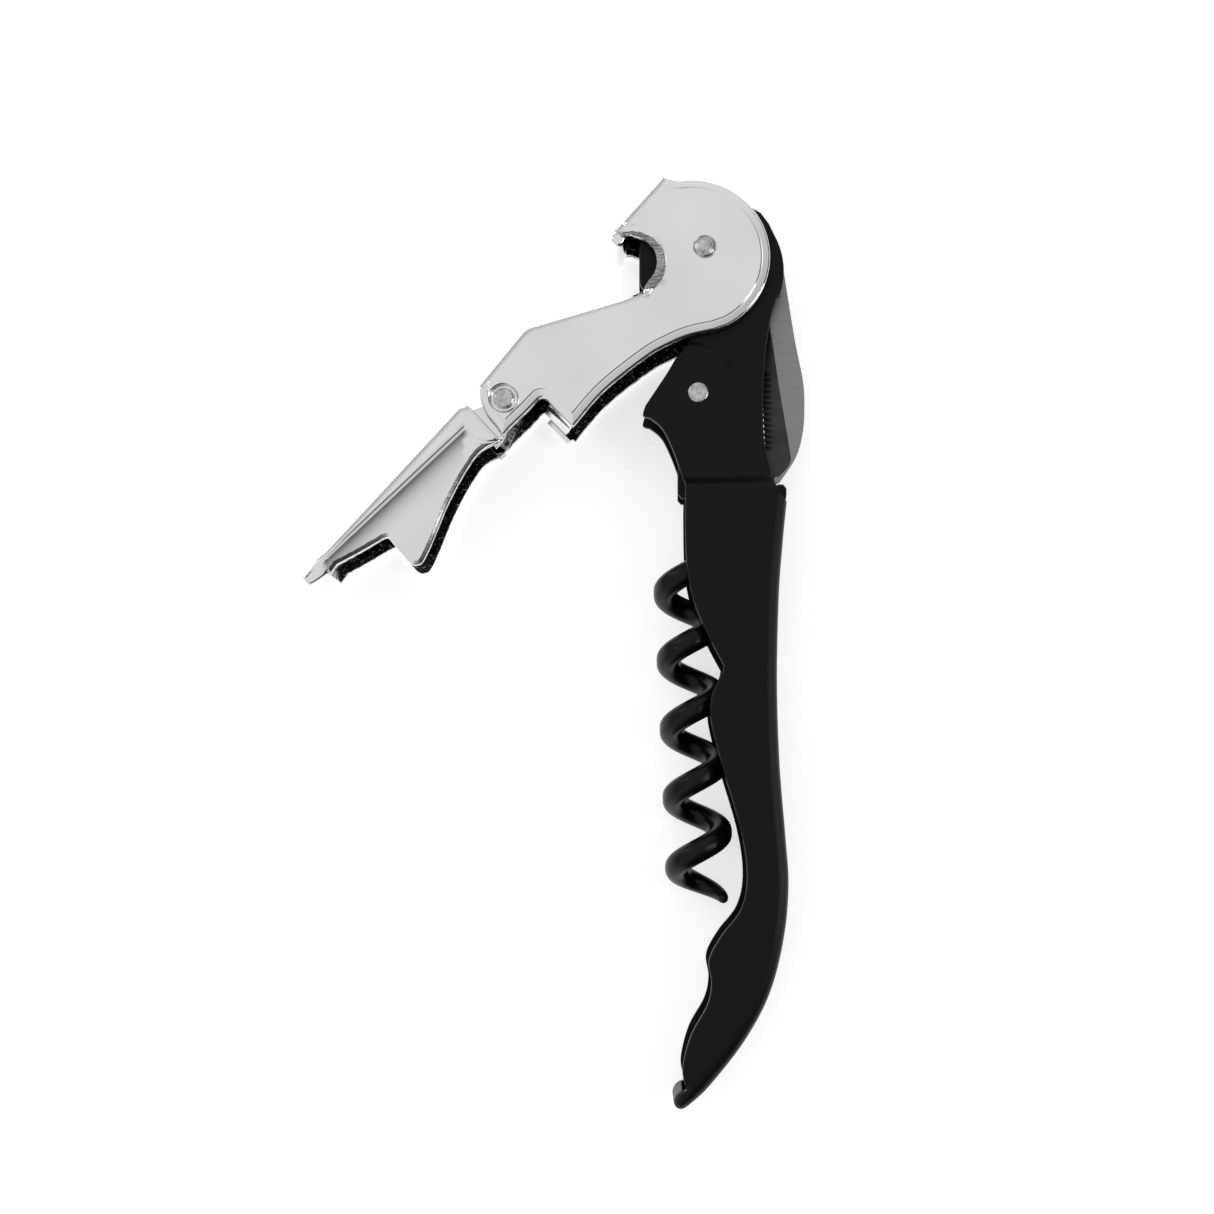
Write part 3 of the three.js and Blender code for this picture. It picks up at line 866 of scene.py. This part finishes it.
class HandleShape(Shape):
    """Neck walls with a raised panel, a joggle out at the shoulder, and the wider grip."""

    sheet = HANDLE_SHEET
    fold = SPINE_FOLD

    def step_out(self, y, late):
        t = (NECK_END + JOGGLE - late - y) / JOGGLE
        return (GRIP_OUT - NECK_OUT) * (0.5 * ease(t) + 0.5 * np.clip(t, 0, 1))

    def outside_height(self, points):
        distance, _ = nearest(points, panel_ring, np.roll(panel_ring, -1, axis=0))
        signed = np.where(inside(points, panel_ring), distance, -distance)
        return NECK_OUT + PANEL_RISE * ease(0.5 + signed / (0.7 * MM)) + self.step_out(points[:, 1], 0)

    def inside_height(self, points):
        return NECK_OUT - self.sheet + self.step_out(points[:, 1], 0.5 * MM)

    def free_edge(self, points, distance):
        return rounded(distance, COAT_EDGE)


def make_handle():
    """The folded sheet: neck, joggle and grip, with the tail curled at the end."""
    fold_from = 5  # the first points of the back are the cut end of the shoulder
    runs = [
        ("free", np.vstack([neck_line, grip_back[: fold_from + 1]])),
        ("fold", beside(grip_back[fold_from:], FOLD_SPREAD)),
        ("free", np.vstack([grip_back[-1:], grip_front, neck_line[:1]])),
    ]
    rows = [step * MM for step in (0.03, 0.08, 0.15, 0.23, 0.32, 0.45, 0.7, 1.0, 1.25, 1.5)]
    joggle_rows = [np.array([[x, NECK_END + JOGGLE * (1 - t)] for x in np.arange(-2.0, 9.0, 0.8) * MM])
                   for t in (0.02, 0.12, 0.3, 0.5, 0.7, 0.88, 0.98)]
    piece = folded_sheet("handle_body", [COAT, COAT, COAT], runs, HandleShape(), 0.55 * MM, rows, 1.1 * MM,
                         creases=joggle_rows)
    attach(piece, "handle")
    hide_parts("handle_frame")


# ---------------------------------------------------------------- upper lever stage

head_centre = mm(-1.72, -1.25)[0]
HEAD_RADIUS = 10.3 * MM
mouth_centre = mm(-9.65, -1.8)[0]
MOUTH_RADIUS = 3.35 * MM
mouth_bevel_centre = mm(-9.5, -2.3)[0]
MOUTH_BEVEL_RADIUS = 4.38 * MM
MOUTH_REACH = 5.6 * MM  # edges this near to the mouth's centre are ground, not pressed over
MOUTH_ROUND = 0.12 * MM
BEVEL_SLOPE = 0.42
BEVEL_END = -5.6 * MM  # the bevel runs out below, over its fade
BEVEL_FADE = 1.8 * MM
lobe = MID_PIVOT + smooth(
    mm(-0.12, -4.99, -0.95, -3.6, -2.2, -2.08, -2.96, -0.44, -3.12, 0.1, -3.22, 1.84), 3)
back_web = np.vstack([lobe[-1:], mm(-24.3, -11.78), smooth(mm(-23.8, -11.2, -23.0, -10.65, -22.1, -10.4), 3),
                      mm(-10.94, -7.03, -8.06, -5.95)])
back_web = beside(back_web, FOLD_SPREAD)
hook_web = beside(mm(-11.64, 2.55, -5.7, 9.26), FOLD_SPREAD)


class UpperLeverShape(Shape):
    """Flat walls with a dimple round the lower rivet, and a bevelled mouth."""

    def outside_height(self, points):
        radius = np.linalg.norm(points - MID_PIVOT, axis=1)
        return self.out - DIMPLE_DEPTH * ease((DIMPLE + 0.15 * MM - radius) / (0.4 * MM))

    def in_bevel(self, points):
        """How far each point lies inside the round that the grinding wheel left."""
        reach = MOUTH_BEVEL_RADIUS - np.linalg.norm(points - mouth_bevel_centre, axis=1)
        return reach * ease((points[:, 1] - BEVEL_END) / BEVEL_FADE)

    def free_edge(self, points, distance):
        fall, tilt = leaning(distance)
        near_mouth = np.linalg.norm(points - mouth_centre, axis=1) < MOUTH_REACH
        sharp, sharp_tilt = rounded(distance, MOUTH_ROUND)
        reach = np.maximum(self.in_bevel(points), 0)
        bevel_tilt = np.where(reach > 0, math.atan(BEVEL_SLOPE), 0)
        fall = np.where(near_mouth, sharp + reach * BEVEL_SLOPE, fall)
        tilt = np.where(near_mouth, np.maximum(sharp_tilt, bevel_tilt), tilt)
        return fall, tilt

    def groove(self, distance):
        return rim_line(distance)

    def finish(self, points):
        return np.where(self.in_bevel(points) > 0, 3, 0)


def make_upper_lever():
    rim = np.vstack([
        hook_web[-1:], mm(-5.35, 9.42, -4.9, 9.3, -4.35, 9.12),
        arc(head_centre, HEAD_RADIUS, 99, -64, 60),
        smooth(mm(1.2, -11.05, -2.1, -11.8, -4.8, -12.95, -7.7, -14.65, -13.2, -19.1, -17.27, -23.87)),
        mm(-17.27, -23.87, -20.28, -20.75),
        smooth(mm(-20.28, -20.75, -20.7, -20.3, -21.2, -20.0, -21.7, -20.12), 3),
        mm(-23.52, -22.07, -25.51, -23.97),
        lobe,
    ])
    mouth = np.vstack([back_web[-1:], arc(mouth_centre, MOUTH_RADIUS, -45, 72), mm(-9.7, 1.85, -10.8, 1.8),
                       hook_web[:1]])
    runs = [("fold", hook_web), ("free", rim), ("fold", back_web), ("free", mouth)]
    rows = [step * MM for step in
            (0.02, 0.05, 0.1, 0.16, 0.22, 0.3, 0.42, 0.6, 0.8, 0.94, 1.0, 1.05, 1.1, 1.15, 1.2, 1.27, 1.4)]
    dimple_rows = [arc(MID_PIVOT, radius * MM, 0, 360, 44)[:-1] for radius in (1.6, 1.72, 1.85, 1.97, 2.07)]
    piece = folded_sheet("upper_lever_body", [CHROME, CUT_EDGE, INSIDE_PAINTED_SHADE, HATCHING], runs, UpperLeverShape(),
                         0.4 * MM, rows, 0.9 * MM, creases=dimple_rows)
    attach(piece, "lever_upper")
    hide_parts("lever_upper")


# ---------------------------------------------------------------- lower lever stage

lower_back = MID_PIVOT + np.vstack([
    mm(-5.0, -0.55),
    smooth(mm(-6.08, -0.88, -6.4, -1.05, -6.51, -1.33), 3),
    mm(-24.4, -20.99),
])
lower_tip = MID_PIVOT + smooth(
    mm(-24.4, -20.99, -26.1, -23.3, -25.95, -23.95, -25.0, -24.65, -22.5, -23.15), 4)
TIP_MIDDLE = MID_PIVOT + mm(-25.3, -23.4)[0]
lower_front = MID_PIVOT + np.vstack([
    mm(-22.5, -23.15),
    smooth(mm(-21.57, -21.83, -18.89, -20.37, -15.57, -18.38), 4),
    smooth(mm(-15.57, -18.38, -15.1, -18.25, -14.78, -18.51), 3),
    smooth(mm(-14.2, -19.2, -12.8, -20.9, -11.9, -21.75, -11.1, -21.8, -10.4, -21.3, -9.2, -18.8, -6.9, -13.2,
              -3.65, -7.6, -0.8, -5.75)),
    mm(-0.35, -5.5),
])
STEP_WIDTH = 0.3 * MM  # between the pressed line and the start of the hollow
CREASE_DEPTH = 0.08 * MM
CREASE_WIDTH = 0.12 * MM
HOLLOW_SLOPE = 0.05
HOLLOW_FALL = 0.4 * MM
HOLLOW_REACH = 1.2 * MM
INNER_FALL = 0.3 * MM  # the lower stage's inner faces stand in from the upper's
band_edge = MID_PIVOT + mm(-23.3, -21.2, -5.1, -3.83, -3.66, -5.35, -2.23, -5.78, -0.6, -5.6)
ear_ring = MID_PIVOT + np.vstack([
    arc((0, 0), 2.05 * MM, -15, 170, 24),
    mm(-2.15, -0.5, -4.1, -1.2, -4.75, -2.35, -1.6, -5.75, -0.3, -5.45, 1.35, -2.2),
])
joggle_ring = MID_PIVOT + mm(-4.5, -1.1, -0.35, -5.5, -1.1, -6.3, -5.3, -1.95)


class LowerLeverShape(Shape):
    """Walls that hollow in from a proud band along the back."""

    def outside_height(self, points):
        band = np.vstack([band_edge, MID_PIVOT + mm(0.5, -3.0, -5, 3, -30, -18, -27, -25)])
        distance, _ = nearest(points, band_edge[:-1], band_edge[1:])
        reach = np.where(inside(points, band), 0, distance)
        line = CREASE_DEPTH * np.exp(-((distance / CREASE_WIDTH) ** 2))
        past = np.maximum(reach - STEP_WIDTH, 0)
        return self.out - line - HOLLOW_SLOPE * past - HOLLOW_FALL * (1 - np.exp(-past / HOLLOW_REACH))

    def inside_height(self, points):
        return np.full(len(points), self.out - self.sheet - INNER_FALL)

    def fold_radius(self, points):
        """The fold is tight round the tip and opens out over a few millimetres."""
        reach = np.linalg.norm(points - TIP_MIDDLE, axis=1)
        return LEVER_FOLD * (0.3 + 0.7 * ease((reach - 1.5 * MM) / (3 * MM)))

    def free_edge(self, points, distance):
        return leaning(distance, width=0.55 * MM, slope=0.3)


class EarShape(Shape):
    """The thinner ears that hold the middle rivet."""

    out = EAR_OUT
    sheet = EAR_OUT - EAR_IN

    def free_edge(self, points, distance):
        return rounded(distance, 0.2 * MM)


class JoggleShape(EarShape):
    """The step between the ears and the walls."""

    out = LEVER_OUT - 0.25 * MM
    sheet = LEVER_OUT - EAR_IN - 0.25 * MM


def closed(ring):
    """One free edge all the way round."""
    return [("free", np.vstack([ring, ring[:1]]))]


def make_lower_lever():
    runs = [
        ("fold", beside(np.vstack([lower_back, lower_tip[1:]]), FOLD_SPREAD)),
        ("free", lower_front),
        ("free", np.vstack([lower_front[-1:], lower_back[:1]])),
    ]
    rows = [step * MM for step in
            (0.02, 0.05, 0.1, 0.16, 0.22, 0.3, 0.42, 0.5, 0.55, 0.6, 0.75, 0.95, 1.1, 1.4)]
    shape = LowerLeverShape()
    crease = cut_finely(band_edge, 0.4 * MM)
    crease_rows = [cut_finely(beside(band_edge, side * MM), 0.4 * MM)[2:-2]
                   for side in (-0.4, -0.3, -0.2, -0.12, -0.06, 0.06, 0.12, 0.2)]
    piece = folded_sheet("lower_lever_body", [CHROME, CUT_EDGE, INSIDE_PAINTED_SHADE], runs, shape,
                         0.4 * MM, rows, 0.8 * MM, creases=[crease[2:-2]] + crease_rows)
    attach(piece, "lever_lower")
    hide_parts("lever_lower")
    edge_rows = [step * MM for step in (0.03, 0.08, 0.14, 0.2)]
    for name, ring, form in (("lower_lever_ears", ear_ring, EarShape()),
                             ("lower_lever_joggle", joggle_ring, JoggleShape())):
        part = folded_sheet(name, [CHROME, CUT_EDGE, CUT_EDGE], closed(ring), form,
                            0.4 * MM, edge_rows, 0.8 * MM)
        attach(part, "lever_lower")


def make_foot_flanges():
    """The front edge of the foot is bent in on both walls, and leans out a little."""
    start, end = mm(-20.15, -20.9, -17.45, -23.7)
    outward = np.array([-0.72, -0.69])
    section = np.array([(0.0, 5.95), (0.3, 5.6), (0.75, 4.6), (1.15, 3.3), (0.6, 3.1), (-0.2, 4.8)]) * MM
    count = len(section)
    points = []
    faces = []
    for side in (1, -1):
        first = len(points)
        for corner in (start, end):
            for offset, height in section:
                points.append((*(corner + outward * offset), side * height))
        for k in range(count):
            j = (k + 1) % count
            face = [first + k, first + j, first + count + j, first + count + k]
            faces.append(face[::side])
        faces.append([first + k for k in range(count)][::-side])
        faces.append([first + count + k for k in range(count)][::side])
    piece = add_piece("foot_flanges", points, faces, CHROME, 40)
    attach(piece, "lever_upper")


def make_claw():
    """The cap lifter's claw runs on past the hook web and turns down a little."""
    ring = smooth(mm(-11.9, 2.2, -12.2, 1.95, -12.36, 1.4, -12.1, 0.85, -11.55, 0.4, -11.1, 0.45, -10.75, 0.8,
                     -10.55, 1.2), 5)
    ring = np.vstack([ring, mm(-10.3, 1.6, -11.45, 2.7)])
    shape = PlateShape()
    shape.out = LEVER_OUT - LEVER_FOLD - 0.02 * MM
    shape.fold = 0.45 * MM
    rows = [step * MM for step in (0.03, 0.08, 0.15, 0.25, 0.36, 0.45)]
    piece = folded_sheet("cap_lifter_claw", [CHROME, CHROME, CHROME], [("fold", np.vstack([ring, ring[:1]]))],
                         shape, 0.2 * MM, rows, 0.4 * MM)
    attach(piece, "lever_upper")


# ---------------------------------------------------------------- foil blade

TOOTH_DEPTH = 0.28 * MM
TEETH = 14
FIRST_TOOTH = mm(7.9, -26.2)[0]
LAST_TOOTH = mm(7.4, -15.42)[0]
SCALLOP_REACH = 1.7 * MM  # how far the gullets run up the bevel
SCALLOP_DEPTH = 0.15 * MM
blade_back = np.vstack([
    mm(10.25, -0.6),
    smooth(mm(10.7, -1.6, 12.15, -11.2, 13.2, -16.8, 13.35, -20.5, 13.1, -23.8, 12.2, -27, 10.05, -30.3)),
    smooth(mm(10.05, -30.3, 9.75, -30.48, 9.45, -30.5, 9.0, -30.3, 8.45, -29.4, 8.2, -28.2), 4),
])
bevel_line = smooth(mm(8.5, -8.2, 9.1, -11.2, 9.9, -16.8, 10.65, -21.6, 11.4, -26.35, 11.45, -27.6,
                       10.7, -28.85, 9.3, -30.0))


def serrations():
    """Round gullets between sharp points, from the lowest up."""
    line = []
    for tooth in range(TEETH):
        for part in np.linspace(0, 1, 8, endpoint=False):
            root = FIRST_TOOTH + (LAST_TOOTH - FIRST_TOOTH) * (tooth + part) / TEETH
            line.append(root + [TOOTH_DEPTH * math.sin(math.pi * part), 0])
    line.append(LAST_TOOTH)
    return np.array(line)


class BladeShape(PlateShape):
    """Flat faces, ground down to the edge below the bevel line, with a scallop at each gullet."""

    out = BLADE_OUT

    def outside_height(self, points):
        ground = np.vstack([bevel_line, mm(6.0, -31.0, 2.0, -8.0)])
        reach, _ = nearest(points, bevel_line[:-1], bevel_line[1:])
        reach = np.where(inside(points, ground), reach, 0)
        along = (points[:, 1] - FIRST_TOOTH[1]) / (LAST_TOOTH[1] - FIRST_TOOTH[1]) * TEETH
        line_x = FIRST_TOOTH[0] + (LAST_TOOTH[0] - FIRST_TOOTH[0]) * np.clip(along / TEETH, 0, 1)
        to_edge = np.maximum(points[:, 0] - line_x, 0)
        fall = (self.out - 0.16 * MM) * reach / np.maximum(reach + to_edge, 1e-6)
        toothed = (along > 0) & (along < TEETH)
        scallop = SCALLOP_DEPTH * np.sin(np.pi * (along % 1.0)) ** 2 * (1 - ease(to_edge / SCALLOP_REACH))
        return self.out - fall - np.where(toothed, scallop, 0)

    # The ground region gets the near-black bevel material, whose colour is painted shade.
    def finish(self, points):
        return np.where(inside(points, np.vstack([bevel_line, mm(6.0, -31.0, 2.0, -8.0)])), 1, 0)


def make_blade():
    cutting = serrations()
    ring = np.vstack([
        blade_back,
        cutting,
        smooth(mm(7.3, -14.6, 7.1, -13.6, 6.3, -11.6, 3.4, -6.2), 5),
        arc(LEVER_PIVOT, 4.1 * MM, -85, -265, 24),
        mm(3.6, 3.9, 7.6, 2.6, 9.6, 0.8, 10.25, -0.6),
    ])
    rows = [step * MM for step in (0.02, 0.06, 0.12)]
    steps = TEETH * 8
    gullet_rows = []
    for row in range(1, steps):
        start = FIRST_TOOTH + (LAST_TOOTH - FIRST_TOOTH) * row / steps
        gullet_rows.append(np.array([start + [x * MM, 0] for x in np.arange(0.45, 1.75, 0.13)]))
    piece = folded_sheet("foil_blade", [SATIN, BEVEL_PAINTED_SHADE], [("fold", ring)], BladeShape(),
                         0.5 * MM, rows, 0.5 * MM,
                         creases=[cut_finely(bevel_line[:-6], 0.4 * MM)] + gullet_rows)
    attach(piece, "knife")
    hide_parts("knife_blade")


# ---------------------------------------------------------------- worm


def make_worm():
    """The wire: a shank, then turns that taper to the point, and the eye round the rivet."""
    down = np.array([math.sin(WORM_TILT), -math.cos(WORM_TILT), 0])
    right = np.array([math.cos(WORM_TILT), math.sin(WORM_TILT), 0])
    up = np.array([0, 0, 1.0])
    start = np.append(WORM_PIVOT, 0)
    mean = WORM_RADIUS - WIRE / 2
    per_turn = 22
    path = [start, start + down * 0.35 * WORM_SHANK, start + down * 0.7 * WORM_SHANK + right * 0.05 * MM]
    radial = [right, right, right]
    for i in range(WORM_TURNS * per_turn + 1):
        angle = i / per_turn * 2 * math.pi
        settled = min(1, i / (per_turn * 0.25))
        side = WORM_SIDE_STEP * (0.6 + 0.4 * settled) - mean + mean * math.cos(angle)
        along = WORM_SHANK + i / per_turn * WORM_PITCH
        path.append(start + down * along + right * side + up * mean * math.sin(angle))
        radial.append(right * math.cos(angle) + up * math.sin(angle))
    centres = smooth(path, 3)
    outwards = smooth(radial, 3)
    gaps = np.linalg.norm(np.diff(centres, axis=0), axis=1)
    travelled = np.append(0, np.cumsum(gaps))
    left = travelled[-1] - travelled
    radius = WORM_POINT + (WIRE / 2 - WORM_POINT) * np.sqrt(np.minimum(1, left / WORM_TAPER))
    tip = np.clip(left / (0.5 * MM), 0.02, 1)
    radius *= np.sqrt(1 - (1 - tip) ** 2)
    deepens = np.clip((travelled - WORM_SHANK * 0.8) / (6 * MM), 0, 1)
    fades = np.clip(left / (30 * MM), 0, 1)
    groove = GROOVE_DEPTH * deepens * fades
    around = 40
    turn = np.linspace(-math.pi, math.pi, around, endpoint=False)
    points = []
    for i, centre in enumerate(centres):
        ahead = centres[min(i + 1, len(centres) - 1)] - centres[max(i - 1, 0)]
        ahead /= np.linalg.norm(ahead)
        first = outwards[i] - ahead * (outwards[i] @ ahead)
        first /= np.linalg.norm(first)
        second = np.cross(ahead, first)
        size = radius[i] * (1 - groove[i] * np.exp(-((turn / GROOVE_ANGLE) ** 2)))
        ring = centre + size[:, None] * (np.cos(turn)[:, None] * first + np.sin(turn)[:, None] * second)
        points.append(ring)
    piece = add_piece("worm_wire", np.vstack(points), tube_faces(len(centres), around), WORM_COAT, 60)
    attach(piece, "worm")
    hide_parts("worm")
    half = WIRE / 2
    eye_radius = 2.75 * MM
    profile = [(0.2 * MM, -half), (eye_radius - 0.35 * MM, -half), (eye_radius - 0.1 * MM, -half + 0.1 * MM),
               (eye_radius, -half + 0.35 * MM), (eye_radius, half - 0.35 * MM),
               (eye_radius - 0.1 * MM, half - 0.1 * MM), (eye_radius - 0.35 * MM, half), (0.2 * MM, half)]
    eye = turned("worm_eye", WORM_COAT, WORM_PIVOT, profile)
    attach(eye, "worm")


# ---------------------------------------------------------------- rivets


def both_ends(profile):
    """A profile from its near end, mirrored to run from the far end to the near one."""
    near = np.array(profile)
    return np.vstack([near * [1, -1], near[::-1]])


def make_rivets():
    top = LEVER_RIVET_OUT
    domed = [(0.15 * MM, top), (0.62 * MM, top - 0.01 * MM), (0.86 * MM, top - 0.03 * MM),
             (0.94 * MM, top - 0.07 * MM), (1.06 * MM, top - 0.08 * MM), (1.18 * MM, top - 0.11 * MM),
             (1.28 * MM, top - 0.18 * MM), (1.33 * MM, top - 0.27 * MM), (1.38 * MM, top - 0.30 * MM),
             (1.44 * MM, top - 0.26 * MM), (1.5 * MM, top - 0.25 * MM), (1.55 * MM, top - 0.30 * MM),
             (1.56 * MM, LEVER_OUT - 0.1 * MM)]
    top = MID_RIVET_OUT
    sunk = [(0.15 * MM, top - 0.02 * MM), (0.7 * MM, top), (1.0 * MM, top), (1.12 * MM, top - 0.02 * MM),
            (1.22 * MM, top - 0.08 * MM), (1.27 * MM, top - 0.16 * MM), (1.34 * MM, top - 0.2 * MM),
            (1.4 * MM, top - 0.2 * MM), (1.46 * MM, top - 0.25 * MM), (1.48 * MM, top - 0.6 * MM)]
    top = WORM_RIVET_OUT
    flat = [(0.15 * MM, top - 0.015 * MM), (0.6 * MM, top), (1.1 * MM, top), (1.24 * MM, top - 0.02 * MM),
            (1.31 * MM, top - 0.07 * MM), (PIN_HEAD, top - 0.16 * MM), (PIN_HEAD, top - 0.6 * MM)]
    for name, centre, profile, body in (
        ("lever_rivet", LEVER_PIVOT, domed, "handle"),
        ("mid_rivet", MID_PIVOT, sunk, "lever_upper"),
        ("worm_rivet", WORM_PIVOT, flat, "handle"),
    ):
        piece = turned(name + "_turned", RIVET, centre, both_ends(profile))
        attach(piece, body)
        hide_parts(name)


def dress_inner_nodes():
    """The hidden pieces keep their own solids and get full materials."""
    for node, material in (("blade_spacer_near", RIVET), ("blade_spacer_far", RIVET),
                           ("worm_holder", COAT), ("back_spring", SPRING)):
        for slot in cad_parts[node].material_slots:
            slot.material = material


make_handle()
make_upper_lever()
make_lower_lever()
make_claw()
make_foot_flanges()
make_blade()
make_worm()
make_rivets()
dress_inner_nodes()

# ---------------------------------------------------------------- studio


def make_floor():
    mesh = bpy.data.meshes.new("studio_floor")
    half = 1.5
    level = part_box("lever_rivet")[0][2] - 0.1 * MM  # just clear of the rivet's head that it lies on
    corners = [(-half, -half, level), (half, -half, level), (half, half, level), (-half, half, level)]
    mesh.from_pydata(corners, [], [(0, 1, 2, 3)])
    finish = Finish("pale_floor", (0.85, 0.85, 0.85), 0.0, 0.8, specular=0.1)
    finish.shader.inputs["Emission Color"].default_value = (1, 1, 1, 1)
    finish.shader.inputs["Emission Strength"].default_value = 0.62
    mesh.materials.append(finish.material)
    floor = bpy.data.objects.new("studio_floor", mesh)
    bpy.context.collection.objects.link(floor)


def make_surroundings():
    """A pale room, a little dimmer on the upper left and dark on the lower right."""
    world = bpy.data.worlds.new("pale_studio")
    world.use_nodes = True
    bpy.context.scene.world = world
    tree = world.node_tree
    background = tree.nodes["Background"]
    way = tree.nodes.new("ShaderNodeTexCoord").outputs["Generated"]
    parts = tree.nodes.new("ShaderNodeSeparateXYZ")
    link(tree, way, parts.inputs[0])
    upward = math_node(tree, "MULTIPLY", parts.outputs["Y"], 0.6)
    lean = math_node(tree, "SUBTRACT", upward, parts.outputs["X"])
    lower_right = ranged(tree, lean, -0.6, 0.06, 0.04, 0.76)
    upper_left = ranged(tree, lean, 0.3, 1.1, 0.76, 0.45)
    link(tree, math_node(tree, "MINIMUM", lower_right, upper_left), background.inputs["Strength"])
    background.inputs["Color"].default_value = (1, 1, 1, 1)


def area_light(name, place, size, power):
    """A soft strip that faces the middle of the frame."""
    data = bpy.data.lights.new(name, "AREA")
    data.shape = "RECTANGLE"
    data.size, data.size_y = size
    data.energy = power
    lamp = bpy.data.objects.new(name, data)
    lamp.location = place
    lamp.rotation_euler = (-Vector(place)).to_track_quat("-Z", "Y").to_euler()
    bpy.context.collection.objects.link(lamp)


def make_camera():
    data = bpy.data.cameras.new("studio_camera")
    data.lens = 60
    data.sensor_width = 36
    data.clip_start = 0.01
    camera = bpy.data.objects.new("studio_camera", data)
    place = Vector(PIVOT) + Vector((-8.937, -72.304, 266.04)) * MM
    aim = Vector(PIVOT) + Vector((-12.864, -46.925, 0)) * MM
    back = (place - aim).normalized()
    right = (Vector((1, 0, 0)) - back * back.x).normalized()
    above = back.cross(right)
    turn = Matrix((right, above, back)).transposed()
    camera.matrix_world = Matrix.Translation(place) @ turn.to_4x4()
    bpy.context.collection.objects.link(camera)
    bpy.context.scene.camera = camera


make_floor()
make_surroundings()
area_light("left_strip", (-0.45, 0.25, 0.30), (0.12, 0.6), 0.35)
area_light("right_strip", (0.5, -0.05, 0.35), (0.08, 0.6), 1.1)
make_camera()
bpy.context.scene.view_settings.view_transform = "Standard"
